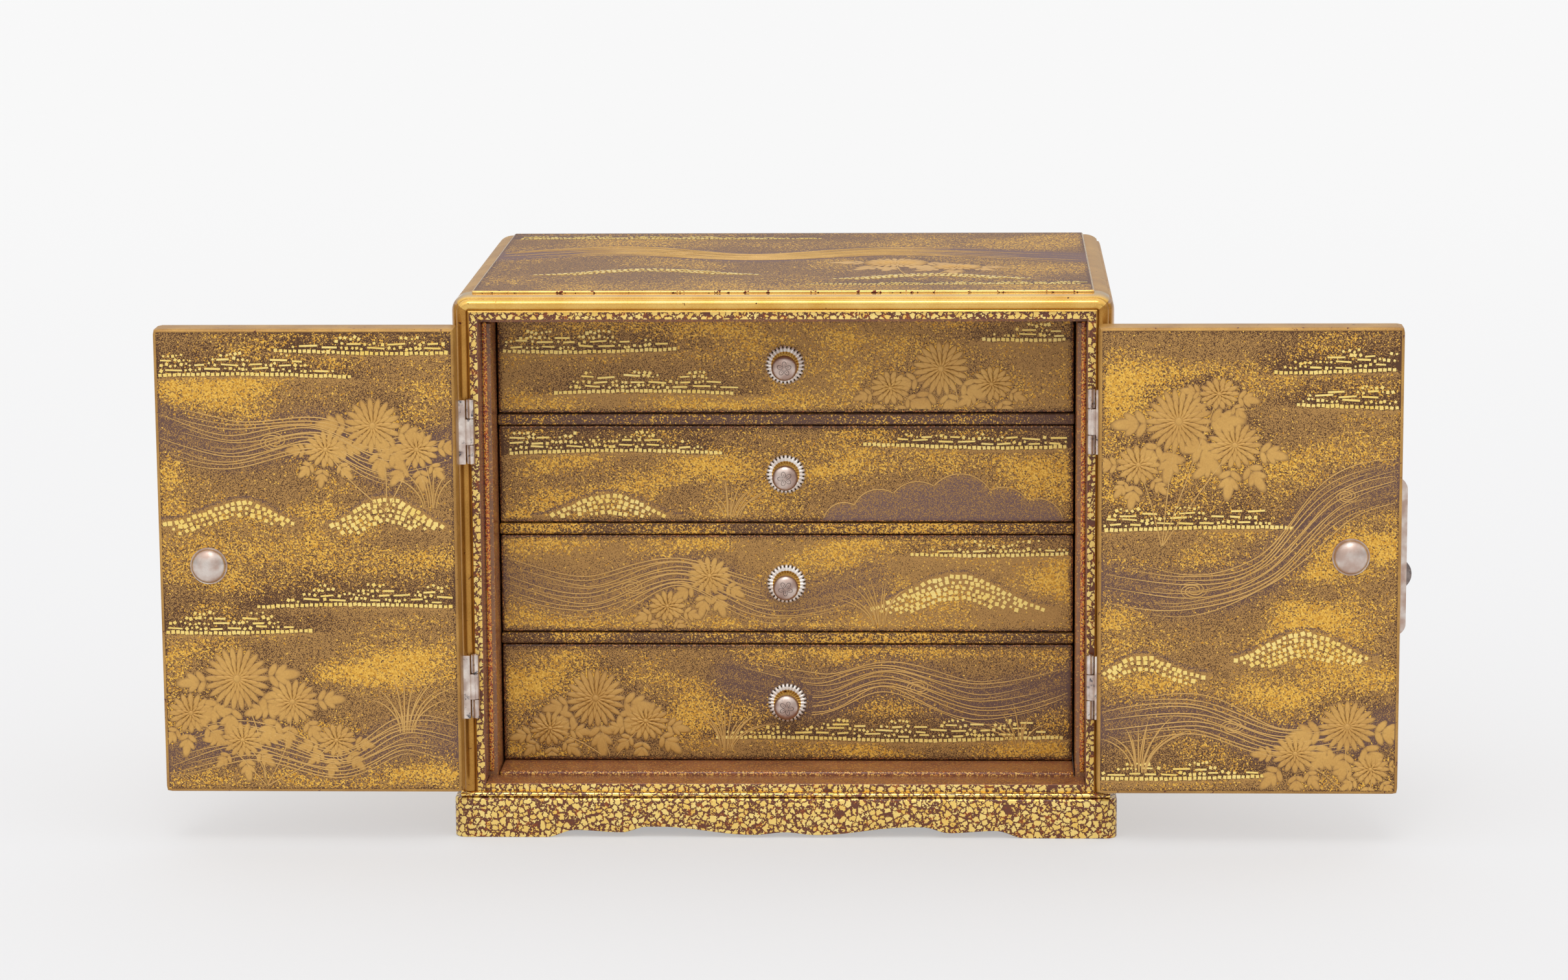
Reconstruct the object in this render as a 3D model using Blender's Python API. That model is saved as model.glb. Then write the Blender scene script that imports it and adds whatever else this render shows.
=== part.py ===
"""Small lacquer cabinet with two open doors and four drawers.

Run in Blender. Sizes are metres, +Z is up and the front faces -Y. While the pieces are worked out,
y = 0 is the face of the speckled band round the doorway, x = 0 is the middle of the cabinet and z = 0
is the floor. Doors are modelled open, as they rest.
"""

import math

import bmesh
import bpy
from mathutils import Matrix, Vector

TOUCH = 1e-6  # two places closer than this are the same

# Fits
GAP = 0.0003  # between pieces that touch
RUN_GAP = 0.0003  # above and below a drawer
DRAWER_SIDE_GAP = 0.0005
PIN_CLEARANCE = 0.00007  # radial, between a hinge pin and the turning knuckle
KNUCKLE_GAP = 0.00015  # between neighbouring knuckles
SLOT_CLEARANCE = 0.0002  # round a hinge leaf let into the frame
CUT_PAST = 0.001  # how far a cutting tool goes past the face it leaves

# Doorway and front frame, from the doorway outwards
DOORWAY_WIDTH = 0.1538
REBATE_DEPTH = 0.009
BAND_WIDTH = 0.0021
FILLET_WIDTH = 0.00025
FILLET_DEPTH = 0.00025
BEAD_WIDTH = 0.003
BEAD_RISE = 0.0011
GROOVE_WIDTH = 0.00015
STRIP_WIDTH = 0.0013
STRIP_DEPTH = 0.0052
EDGE_EASE = 0.0004
CORNER_RADIUS = 0.0046

# Raised field of the top
FIELD_RISE = 0.0007
FIELD_INSET = 0.0049  # from the sides
FIELD_BACK_INSET = 0.0027
FIELD_EASE = 0.0005

# Carcass boards
CABINET_DEPTH = 0.124  # band face to back face
STOP_LIP = 0.0024  # how far the side boards stand inside the doorway
TOP_LIP = 0.00175
SILL_LIP = 0.001
BACK_BOARD = 0.0075
BACK_EDGE_RADIUS = 0.0015
DIVIDER = 0.0028
DIVIDER_SETBACK = 0.02
SILL_BEAD_HEIGHT = 0.0017
SILL_BEAD_RISE = 0.0009
SILL_BAND_HEIGHT = 0.0019

# Plinth
PLINTH_HEIGHT = 0.0101
PLINTH_WALL = 0.006
PLINTH_PROUD = 0.0013  # beyond the sides and the back
PLINTH_FRONT_PROUD = 0.0015  # in front of the band
PLINTH_CORNER = 0.003
FOOT_LENGTH = 0.0235
OGEE_END = 0.031
OGEE_HEIGHT = 0.0019
HOLLOW_END = 0.043
HOLLOW_HEIGHT = 0.0013
CUSP_START = 0.0495
CUSP_END = 0.0527
CUSP_HEIGHT = 0.0028
PENDANT_FROM_MIDDLE = 0.008
PENDANT_HEIGHT = 0.0007
MIDDLE_HEIGHT = 0.0014

# Drawers, from the top one down
DRAWER_HEIGHTS = (0.025, 0.0252, 0.0255, 0.03075)
DRAWER_SETBACK = 0.0205
DRAWER_REAR_ROOM = 0.002
DRAWER_FRONT = 0.006
DRAWER_WALL = 0.0045
DRAWER_FLOOR = 0.003
DRAWER_WALL_DROP = 0.002  # walls stop this far below the front's top
DRAWER_EDGE_EASE = 0.0004

# Doors
DOOR_THICKNESS = 0.0082
DOOR_SIDE_GAP = 0.0008
DOOR_TOP_GAP = 0.00045
DOOR_BOTTOM_GAP = 0.0004
MEETING_GAP = 0.0006
DOOR_EDGE_RADIUS = 0.0008

# Hinges
HINGE_HEIGHT = 0.0165
KNUCKLE_RADIUS = 0.00105
END_KNUCKLE = 0.0048
PIN_RADIUS = 0.0005
PIN_END = 0.0006
LOOSE_PIN_RISE = 0.003  # the right upper pin has worked up
LEAF_THICKNESS = 0.0006
LEAF_ON_DOOR = 0.007
BODY_LEAF_THICKNESS = 0.0005
BODY_LEAF_DEPTH = 0.006
AXIS_FORWARD = 0.0017  # in front of the band
LEFT_AXIS_OUT = 0.002  # outside the doorway
RIGHT_AXIS_OUT = 0.0009
LEFT_HINGE_FROM_TOP = 0.0277
RIGHT_HINGE_FROM_TOP = 0.0252
HINGE_FROM_BOTTOM = 0.0255

# Metal fittings
BOSS_RADIUS = 0.00475
BOSS_RISE = 0.0024
BOSS_RIM = 0.0004
BOSS_FROM_EDGE = 0.0126
LEFT_BOSS_LIFT = -0.0008
RIGHT_BOSS_LIFT = 0.0016
STUD_RADIUS = 0.0012
RIVET_RADIUS = 0.002
RIVET_HEIGHT = 0.0008
LOCK_PLATE_WIDTH = 0.02
LOCK_PLATE_HEIGHT = 0.0405
LOCK_PLATE_THICKNESS = 0.001
LOCK_PLATE_CORNER = 0.003
LOCK_PLATE_OVERHANG = 0.0021
LOCK_KNOB_RADIUS = 0.00425
LOCK_KNOB_RISE = 0.003
LOCK_KNOB_INSET = 0.0007  # its centre, inside the door's meeting edge
LOCK_KNOB_DROP = 0.0047
ROSETTE_RADIUS = 0.0051
ROSETTE_PETALS = 28
ROSETTE_RIM = 0.00045
ROSETTE_CROWN = 0.0011
ROSETTE_CROWN_WIDTH = 0.0008  # beyond the knob's collar
ROSETTE_FLUTE = 0.00022
KNOB_RADIUS = 0.0031
KNOB_RISE = 0.0075
KNOB_HEAD = 0.0026
KNOB_NECK_RADIUS = 0.0013
KNOB_UNDERCUT = 0.0005
KNOB_COLLAR_RADIUS = 0.002
KNOB_COLLAR_HEIGHT = 0.0004
KNOB_COLLAR_SLOPE = 0.0005
KNOB_SHANK_RADIUS = 0.0011

# Places worked out from the sizes above
HALF_DOORWAY = DOORWAY_WIDTH / 2
FRAME_WIDTH = BAND_WIDTH + FILLET_WIDTH + BEAD_WIDTH + GROOVE_WIDTH + STRIP_WIDTH
HALF_WIDTH = HALF_DOORWAY + FRAME_WIDTH
HALF_INSIDE = HALF_DOORWAY - STOP_LIP
BODY_BOTTOM = PLINTH_HEIGHT + GAP
SILL_Z = BODY_BOTTOM + SILL_BEAD_HEIGHT + SILL_BAND_HEIGHT
FLOOR_Z = SILL_Z + SILL_LIP
INSIDE_HEIGHT = (
    sum(DRAWER_HEIGHTS)
    + DIVIDER * (len(DRAWER_HEIGHTS) - 1)
    + 2 * RUN_GAP * len(DRAWER_HEIGHTS)
)
CEILING_Z = FLOOR_Z + INSIDE_HEIGHT
DOORWAY_TOP = CEILING_Z + TOP_LIP
TOP_Z = DOORWAY_TOP + FRAME_WIDTH
BODY_TOP = TOP_Z - FIELD_RISE
FIELD_FRONT = STRIP_DEPTH
FIELD_BACK = CABINET_DEPTH - FIELD_BACK_INSET
BOARD_FRONT = REBATE_DEPTH + GAP
BACK_INNER = CABINET_DEPTH - BACK_BOARD
DOOR_BOTTOM = SILL_Z + DOOR_BOTTOM_GAP
DOOR_TOP = DOORWAY_TOP - DOOR_TOP_GAP
DOOR_MIDDLE = (DOOR_BOTTOM + DOOR_TOP) / 2
HALF_PLINTH = HALF_WIDTH + PLINTH_PROUD
PLINTH_BACK = CABINET_DEPTH + PLINTH_PROUD
OPEN_OUTER_Y = -2 * AXIS_FORWARD  # an open door's outer face, towards the back
OPEN_INNER_Y = OPEN_OUTER_Y - DOOR_THICKNESS
DRAWER_HALF = HALF_INSIDE - DRAWER_SIDE_GAP
DRAWER_BACK = BACK_INNER - DRAWER_REAR_ROOM
STUD_HOLE = STUD_RADIUS + GAP
SHANK_HOLE = KNOB_SHANK_RADIUS + GAP
BORE_RADIUS = PIN_RADIUS + PIN_CLEARANCE


class DoorSide:
    """Places of one door at rest; side is -1 on the left and 1 on the right."""

    def __init__(self, word, side, axis_out, hinge_from_top, boss_lift):
        self.word = word
        self.side = side
        self.axis_x = side * (HALF_DOORWAY + axis_out)
        shut_edge = side * (HALF_DOORWAY - DOOR_SIDE_GAP)
        self.hinge_edge = 2 * self.axis_x - shut_edge
        self.free_edge = 2 * self.axis_x - side * MEETING_GAP / 2
        self.boss_x = self.free_edge - side * BOSS_FROM_EDGE
        self.boss_z = DOOR_MIDDLE + boss_lift
        self.hinge_middles = {
            "upper": DOOR_TOP - hinge_from_top,
            "lower": DOOR_BOTTOM + HINGE_FROM_BOTTOM,
        }


LEFT = DoorSide("left", -1, LEFT_AXIS_OUT, LEFT_HINGE_FROM_TOP, LEFT_BOSS_LIFT)
RIGHT = DoorSide("right", 1, RIGHT_AXIS_OUT, RIGHT_HINGE_FROM_TOP, RIGHT_BOSS_LIFT)
LOCK_KNOB_X = RIGHT.free_edge - LOCK_KNOB_INSET
LOCK_KNOB_Z = DOOR_MIDDLE - LOCK_KNOB_DROP

# The row's origin is under the middle of the box round everything at rest
BOX_LEFT = LEFT.free_edge
BOX_RIGHT = max(RIGHT.free_edge + LOCK_PLATE_OVERHANG, LOCK_KNOB_X + LOCK_KNOB_RADIUS)
BOX_FRONT = OPEN_INNER_Y - GAP - BOSS_RIM - BOSS_RISE
ORIGIN = Vector(((BOX_LEFT + BOX_RIGHT) / 2, (BOX_FRONT + PLINTH_BACK) / 2, 0.0))


def principled(name, colour, roughness, metallic):
    """Makes a material from an sRGB colour."""
    made = bpy.data.materials.new(name)
    made.use_nodes = True
    shader = made.node_tree.nodes["Principled BSDF"]
    linear = [c / 12.92 if c <= 0.04045 else ((c + 0.055) / 1.055) ** 2.4 for c in colour]
    shader.inputs["Base Color"].default_value = (*linear, 1.0)
    shader.inputs["Roughness"].default_value = roughness
    shader.inputs["Metallic"].default_value = metallic
    made.diffuse_color = (*linear, 1.0)
    return made


def finish(name, bm, look, origin=(0.0, 0.0, 0.0)):
    """Turns a bmesh into a named object at its origin, with its own copy of a material."""
    bmesh.ops.recalc_face_normals(bm, faces=bm.faces)
    start = Vector(origin)
    bm.transform(Matrix.Translation(-start))
    mesh = bpy.data.meshes.new(name)
    bm.to_mesh(mesh)
    bm.free()
    made = bpy.data.objects.new(name, mesh)
    made.location = start - ORIGIN
    bpy.context.scene.collection.objects.link(made)
    if look:
        mesh.materials.append(principled(f"{name}_finish", *look))
    return made


def combine(target, tool, operation):
    """Adds an exact Boolean to an object and hides its tool."""
    step = target.modifiers.new(f"{operation.lower()}_{tool.name}", "BOOLEAN")
    step.operation = operation
    step.solver = "EXACT"
    step.object = tool
    tool.hide_render = True
    tool.display_type = "WIRE"


def prism(outline, low, high, axis):
    """Closed prism on an outline in the other two axes, taken in x, y, z order."""
    bm = bmesh.new()

    def at(point, along):
        place = list(point)
        place.insert("xyz".index(axis), along)
        return bm.verts.new(place)

    first = [at(point, low) for point in outline]
    last = [at(point, high) for point in outline]
    bm.faces.new(first)
    bm.faces.new(last)
    for k in range(len(outline)):
        n = (k + 1) % len(outline)
        bm.faces.new((first[k], first[n], last[n], last[k]))
    return bm


def block(x, y, z):
    """Box from three (low, high) pairs, which may come in either order."""
    return prism([(x[0], y[0]), (x[1], y[0]), (x[1], y[1]), (x[0], y[1])], z[0], z[1], "z")


def ease(bm, radius, segments, chosen=None):
    """Rounds all edges, or those whose two ends pass a test."""
    edges = [e for e in bm.edges if not chosen or all(chosen(v.co) for v in e.verts)]
    bmesh.ops.bevel(
        bm, geom=edges, offset=radius, segments=segments, profile=0.5, affect="EDGES", material=-1
    )
    return bm


def arc(centre, radii, start, end, steps):
    """Points of an elliptical arc, in degrees."""
    turn = [math.radians(start + (end - start) * k / steps) for k in range(steps + 1)]
    return [(centre[0] + radii[0] * math.cos(a), centre[1] + radii[1] * math.sin(a)) for a in turn]


def turned(profile, sides):
    """Body of revolution about +Z from (radius, height) points that start and end on the axis."""
    bm = bmesh.new()
    rings = []
    for radius, height in profile:
        count = sides if radius > 0 else 1
        angles = [2 * math.pi * k / count for k in range(count)]
        rings.append(
            [bm.verts.new((radius * math.cos(a), radius * math.sin(a), height)) for a in angles]
        )
    for low, high in zip(rings, rings[1:]):
        for k in range(sides):
            n = k + 1
            corners = (low[k % len(low)], low[n % len(low)], high[n % len(high)], high[k % len(high)])
            bm.faces.new(dict.fromkeys(corners))
    return bm


def rod(radius, low, high, sides):
    """Plain round rod about +Z."""
    return turned([(0, low), (radius, low), (radius, high), (0, high)], sides)


def facing_front(bm, x, y, z):
    """Turns a body made about +Z to point at the viewer, with its zero at a point."""
    bm.transform(Matrix.Translation((x, y, z)) @ Matrix.Rotation(math.pi / 2, 4, "X"))
    return bm


def facing_back(bm, x, y, z):
    """Turns a body made about +Z to point away from the viewer, with its zero at a point."""
    bm.transform(Matrix.Translation((x, y, z)) @ Matrix.Rotation(-math.pi / 2, 4, "X"))
    return bm


def frame_section():
    """Moulding round the doorway: (out from the doorway, behind the band)."""
    bead_start = BAND_WIDTH + FILLET_WIDTH
    bead_end = bead_start + BEAD_WIDTH
    bead_middle = (bead_start + bead_end) / 2
    strip_start = bead_end + GROOVE_WIDTH
    groove = FILLET_DEPTH + GROOVE_WIDTH
    section = [(0, REBATE_DEPTH)]
    section += arc((EDGE_EASE, EDGE_EASE), (EDGE_EASE, EDGE_EASE), 180, 270, 3)
    section += [(BAND_WIDTH, 0), (BAND_WIDTH, FILLET_DEPTH)]
    section += arc((bead_middle, FILLET_DEPTH), (BEAD_WIDTH / 2, FILLET_DEPTH + BEAD_RISE), 180, 360, 10)
    section += [(bead_end, groove)]
    strip_reach = STRIP_DEPTH - groove
    section += arc((strip_start, STRIP_DEPTH), (STRIP_WIDTH, strip_reach), 270, 360, 6)
    section += [(FRAME_WIDTH, REBATE_DEPTH)]
    return section


def member(section, first_end, second_end):
    """Moulding between two ends, each a function from a section point to a place."""
    bm = bmesh.new()
    first = [bm.verts.new(first_end(*point)) for point in section]
    last = [bm.verts.new(second_end(*point)) for point in section]
    bm.faces.new(first)
    bm.faces.new(last)
    for k in range(len(section)):
        n = (k + 1) % len(section)
        bm.faces.new((first[k], first[n], last[n], last[k]))
    return bm


def raised_field(front, back, joint):
    """Part of the top's field between two depths; the edges that don't lie at the joint are eased."""
    half = HALF_WIDTH - FIELD_INSET
    bm = block((-half, half), (front, back), (BODY_TOP - FIELD_RISE, TOP_Z))
    rim = [e for e in bm.edges if all(v.co.z > TOP_Z - TOUCH for v in e.verts)]
    rim = [e for e in rim if any(abs(v.co.y - joint) > TOUCH for v in e.verts)]
    bmesh.ops.bevel(
        bm, geom=rim, offset=FIELD_EASE, segments=2, profile=0.5, affect="EDGES", material=-1
    )
    return bm


def build_front_frame(lacquer):
    """Two stiles and a head rail with mitred corners, and a lower sill rail between the stiles."""
    section = frame_section()
    half_gap = GAP / 2
    outline = [(HALF_WIDTH, BODY_BOTTOM - CUT_PAST), (HALF_WIDTH, BODY_TOP - CORNER_RADIUS)]
    round_centre = (HALF_WIDTH - CORNER_RADIUS, BODY_TOP - CORNER_RADIUS)
    outline += arc(round_centre, (CORNER_RADIUS, CORNER_RADIUS), 0, 90, 8)[1:]
    outline += [(-x, z) for x, z in reversed(outline)]
    corners = prism(outline, -BEAD_RISE - CUT_PAST, REBATE_DEPTH + CUT_PAST, "y")
    corners = finish("frame_corner_cutter", corners, None)
    stiles = {}
    for door in (LEFT, RIGHT):
        side = door.side
        bm = member(
            section,
            lambda out, back: (side * (HALF_DOORWAY + out), back, BODY_BOTTOM),
            lambda out, back: (side * (HALF_DOORWAY + out), back, DOORWAY_TOP + out - half_gap),
        )
        stile = finish(f"stile_{door.word}", bm, lacquer)
        combine(stile, corners, "INTERSECT")
        stiles[door.word] = stile
    bm = member(
        section,
        lambda out, back: (-HALF_DOORWAY - out + half_gap, back, DOORWAY_TOP + out),
        lambda out, back: (HALF_DOORWAY + out - half_gap, back, DOORWAY_TOP + out),
    )
    head = finish("rail_head", bm, lacquer)
    combine(head, corners, "INTERSECT")
    field = raised_field(FIELD_FRONT, REBATE_DEPTH, REBATE_DEPTH)
    combine(head, finish("rail_head_field_joiner", field, None), "UNION")
    bead_middle = BODY_BOTTOM + SILL_BEAD_HEIGHT / 2
    sill = [(REBATE_DEPTH, SILL_Z), (REBATE_DEPTH, BODY_BOTTOM)]
    sill += arc((0, bead_middle), (SILL_BEAD_RISE, SILL_BEAD_HEIGHT / 2), 270, 90, 8)
    sill += arc((EDGE_EASE, SILL_Z - EDGE_EASE), (EDGE_EASE, EDGE_EASE), 180, 90, 3)
    reach = HALF_DOORWAY - GAP
    finish("rail_sill", prism(sill, -reach, reach, "x"), lacquer)
    return stiles


def build_carcass(lacquer, inside):
    """Top, sides, back, bottom and the dividers that the drawers run on."""
    under_top = CEILING_Z - GAP
    bm = block((-HALF_WIDTH, HALF_WIDTH), (BOARD_FRONT, CABINET_DEPTH), (CEILING_Z, BODY_TOP))
    for side in (-1, 1):
        at_edge = lambda co: co.z > BODY_TOP - TOUCH and side * co.x > HALF_WIDTH - TOUCH
        ease(bm, CORNER_RADIUS, 8, at_edge)
    ease(bm, BACK_EDGE_RADIUS, 3, lambda co: co.z > BODY_TOP - TOUCH and co.y > CABINET_DEPTH - TOUCH)
    top = finish("top_board", bm, lacquer)
    field = raised_field(BOARD_FRONT, FIELD_BACK, BOARD_FRONT)
    combine(top, finish("top_board_field_joiner", field, None), "UNION")
    for word, side in (("left", -1), ("right", 1)):
        across = (side * HALF_INSIDE, side * HALF_WIDTH)
        bm = block(across, (BOARD_FRONT, CABINET_DEPTH), (BODY_BOTTOM, under_top))
        at_corner = lambda co: abs(co.x) > HALF_WIDTH - TOUCH and co.y > CABINET_DEPTH - TOUCH
        finish(f"side_board_{word}", ease(bm, BACK_EDGE_RADIUS, 3, at_corner), lacquer)
    reach = HALF_INSIDE - GAP
    across = (-reach, reach)
    finish("back_board", block(across, (BACK_INNER, CABINET_DEPTH), (BODY_BOTTOM, under_top)), lacquer)
    deep = BACK_INNER - GAP
    finish("bottom_board", block(across, (BOARD_FRONT, deep), (BODY_BOTTOM, FLOOR_Z)), inside)
    level = CEILING_Z
    for number, height in enumerate(DRAWER_HEIGHTS[:-1], 1):
        level -= height + 2 * RUN_GAP
        bm = block(across, (DIVIDER_SETBACK, deep), (level - DIVIDER, level))
        finish(f"divider_{number}", bm, inside)
        level -= DIVIDER


def apron_edge(half, knots):
    """Scalloped lower edge from one end to the other, eased between knots (from the end, height)."""
    points = [(-half, 0.0)]
    for (x0, z0), (x1, z1) in zip(knots, knots[1:]):
        steps = 1 if z0 == z1 else 6
        for k in range(1, steps + 1):
            share = k / steps
            rise = (1 - math.cos(math.pi * share)) / 2
            points.append((x0 + (x1 - x0) * share - half, z0 + (z1 - z0) * rise))
    return points + [(-x, z) for x, z in reversed(points[:-1])]


def build_plinth(lacquer):
    """Four aprons; the front one has the full scallops and the others the foot and the ogee."""
    foot = [(0, 0), (FOOT_LENGTH, 0), (OGEE_END, OGEE_HEIGHT)]
    front_knots = foot + [
        (HOLLOW_END, HOLLOW_HEIGHT),
        (CUSP_START, CUSP_HEIGHT),
        (CUSP_END, CUSP_HEIGHT),
        (HALF_PLINTH - PENDANT_FROM_MIDDLE, PENDANT_HEIGHT),
        (HALF_PLINTH, MIDDLE_HEIGHT),
    ]
    at_end = lambda co: abs(co.x) > HALF_PLINTH - TOUCH
    back_knots = foot + [(HALF_PLINTH, HOLLOW_HEIGHT)]
    front_y = -PLINTH_FRONT_PROUD
    for word, y, face, knots in (
        ("front", (front_y, front_y + PLINTH_WALL), front_y, front_knots),
        ("back", (PLINTH_BACK - PLINTH_WALL, PLINTH_BACK), PLINTH_BACK, back_knots),
    ):
        outline = apron_edge(HALF_PLINTH, knots)
        outline += [(HALF_PLINTH, PLINTH_HEIGHT), (-HALF_PLINTH, PLINTH_HEIGHT)]
        bm = prism(outline, y[0], y[1], "y")
        ease(bm, PLINTH_CORNER, 4, lambda co: at_end(co) and abs(co.y - face) < TOUCH)
        finish(f"plinth_{word}", bm, lacquer)
    start = PLINTH_WALL - PLINTH_FRONT_PROUD + GAP
    end = PLINTH_BACK - PLINTH_WALL - GAP
    half = (end - start) / 2
    outline = apron_edge(half, foot + [(half, HOLLOW_HEIGHT)])
    outline += [(half, PLINTH_HEIGHT), (-half, PLINTH_HEIGHT)]
    outline = [(y + start + half, z) for y, z in outline]
    for word, side in (("left", -1), ("right", 1)):
        bm = prism(outline, side * (HALF_PLINTH - PLINTH_WALL), side * HALF_PLINTH, "x")
        finish(f"plinth_{word}", bm, lacquer)


def build_door(door, lacquer, silver):
    """One open door with its boss, whose stud goes through to the outer face."""
    axis = (door.axis_x, -AXIS_FORWARD, 0.0)
    bm = block((door.hinge_edge, door.free_edge), (OPEN_INNER_Y, OPEN_OUTER_Y), (DOOR_BOTTOM, DOOR_TOP))
    panel = finish(f"door_{door.word}", ease(bm, DOOR_EDGE_RADIUS, 3), lacquer, axis)
    hole = rod(STUD_HOLE, -DOOR_THICKNESS - CUT_PAST, CUT_PAST, 20)
    hole = facing_front(hole, door.boss_x, OPEN_INNER_Y, door.boss_z)
    combine(panel, finish(f"door_{door.word}_stud_cutter", hole, None), "DIFFERENCE")
    dome = arc((0, GAP + BOSS_RIM), (BOSS_RADIUS, BOSS_RISE), 90, 0, 6)
    dome[0] = (0, GAP + BOSS_RIM + BOSS_RISE)
    profile = dome + [(BOSS_RADIUS, GAP), (STUD_RADIUS, GAP)]
    if door is LEFT:
        far = -DOOR_THICKNESS - GAP
        profile += [(STUD_RADIUS, far), (RIVET_RADIUS, far)]
        profile += [(RIVET_RADIUS * 0.7, far - RIVET_HEIGHT), (0, far - RIVET_HEIGHT)]
    else:
        profile += [(STUD_RADIUS, -DOOR_THICKNESS), (0, -DOOR_THICKNESS)]
    boss = facing_front(turned(profile, 28), door.boss_x, OPEN_INNER_Y, door.boss_z)
    finish(f"boss_{door.word}", boss, silver, axis)


def build_lock(silver):
    """Plate on the right door's outer face that laps over the left door, with a domed knob."""
    axis = (RIGHT.axis_x, -AXIS_FORWARD, 0.0)
    edge = RIGHT.free_edge + LOCK_PLATE_OVERHANG
    low = DOOR_MIDDLE - LOCK_PLATE_HEIGHT / 2
    bm = block(
        (edge - LOCK_PLATE_WIDTH, edge),
        (OPEN_OUTER_Y + GAP, OPEN_OUTER_Y + GAP + LOCK_PLATE_THICKNESS),
        (low, low + LOCK_PLATE_HEIGHT),
    )
    upright = [e for e in bm.edges if abs(e.verts[0].co.y - e.verts[1].co.y) > TOUCH]
    bmesh.ops.bevel(
        bm, geom=upright, offset=LOCK_PLATE_CORNER, segments=5, profile=0.5, affect="EDGES", material=-1
    )
    plate = finish("lock_plate", bm, silver, axis)
    outer = OPEN_OUTER_Y + GAP + LOCK_PLATE_THICKNESS
    hole = rod(STUD_HOLE, -LOCK_PLATE_THICKNESS - CUT_PAST, CUT_PAST, 20)
    hole = facing_back(hole, LOCK_KNOB_X, outer, LOCK_KNOB_Z)
    combine(plate, finish("lock_plate_cutter", hole, None), "DIFFERENCE")
    dome = arc((0, GAP), (LOCK_KNOB_RADIUS, LOCK_KNOB_RISE), 90, 0, 6)
    dome[0] = (0, GAP + LOCK_KNOB_RISE)
    profile = dome + [(STUD_RADIUS, GAP), (STUD_RADIUS, -LOCK_PLATE_THICKNESS), (0, -LOCK_PLATE_THICKNESS)]
    finish("lock_knob", facing_back(turned(profile, 28), LOCK_KNOB_X, outer, LOCK_KNOB_Z), silver, axis)


def build_hinge(door, level, stile, silver):
    """Leaf with two end knuckles and the pin, let into the stile, and the door's leaf between them."""
    name = f"{door.word}_{level}"
    middle = door.hinge_middles[level]
    low = middle - HINGE_HEIGHT / 2
    high = middle + HINGE_HEIGHT / 2
    axis_x = door.axis_x
    axis_y = -AXIS_FORWARD
    clear = KNUCKLE_RADIUS + KNUCKLE_GAP
    inner = (low + END_KNUCKLE, high - END_KNUCKLE)
    half_leaf = BODY_LEAF_THICKNESS / 2
    outline = [(axis_y, low), (BODY_LEAF_DEPTH, low), (BODY_LEAF_DEPTH, high), (axis_y, high)]
    notch = max(axis_y + clear, 0.0)  # clears the door's leaf, which lies GAP in front of it when shut
    outline += [(axis_y, inner[1]), (notch, inner[1]), (notch, inner[0]), (axis_y, inner[0])]
    leaf = finish(f"hinge_leaf_{name}", prism(outline, axis_x - half_leaf, axis_x + half_leaf, "x"), silver)
    rise = LOOSE_PIN_RISE if name == "right_upper" else PIN_END
    pin = [(0, low - PIN_END), (PIN_RADIUS, low - PIN_END), (PIN_RADIUS, low), (KNUCKLE_RADIUS, low)]
    pin += [(KNUCKLE_RADIUS, inner[0]), (PIN_RADIUS, inner[0])]
    pin += [(PIN_RADIUS, inner[1]), (KNUCKLE_RADIUS, inner[1])]
    pin += [(KNUCKLE_RADIUS, high), (PIN_RADIUS, high), (PIN_RADIUS, high + rise), (0, high + rise)]
    barrel = turned(pin, 20)
    barrel.transform(Matrix.Translation((axis_x, axis_y, 0)))
    combine(leaf, finish(f"hinge_barrel_{name}_joiner", barrel, None), "UNION")

    slot_half = half_leaf + SLOT_CLEARANCE
    slot = block(
        (axis_x - slot_half, axis_x + slot_half),
        (-BEAD_RISE - CUT_PAST, BODY_LEAF_DEPTH + SLOT_CLEARANCE),
        (low - SLOT_CLEARANCE, high + SLOT_CLEARANCE),
    )
    combine(stile, finish(f"hinge_slot_{name}_cutter", slot, None), "DIFFERENCE")

    side = door.side
    near = axis_x + side * clear
    far = door.hinge_edge + side * LEAF_ON_DOOR
    tab = (inner[0] + KNUCKLE_GAP, inner[1] - KNUCKLE_GAP)
    outline = [(axis_x, tab[0]), (near, tab[0]), (near, low), (far, low)]
    outline += [(far, high), (near, high), (near, tab[1]), (axis_x, tab[1])]
    plate_y = OPEN_OUTER_Y + GAP
    axis = (axis_x, axis_y, 0.0)
    plate = prism(outline, plate_y, plate_y + LEAF_THICKNESS, "y")
    door_leaf = finish(f"door_leaf_{name}", plate, silver, axis)
    knuckle = rod(KNUCKLE_RADIUS, tab[0], tab[1], 20)
    knuckle.transform(Matrix.Translation((axis_x, axis_y, 0)))
    combine(door_leaf, finish(f"door_knuckle_{name}_joiner", knuckle, None), "UNION")
    bore = rod(BORE_RADIUS / math.cos(math.pi / 20), low, high, 20)
    bore.transform(Matrix.Translation((axis_x, axis_y, 0)))
    combine(door_leaf, finish(f"door_bore_{name}_cutter", bore, None), "DIFFERENCE")


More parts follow.
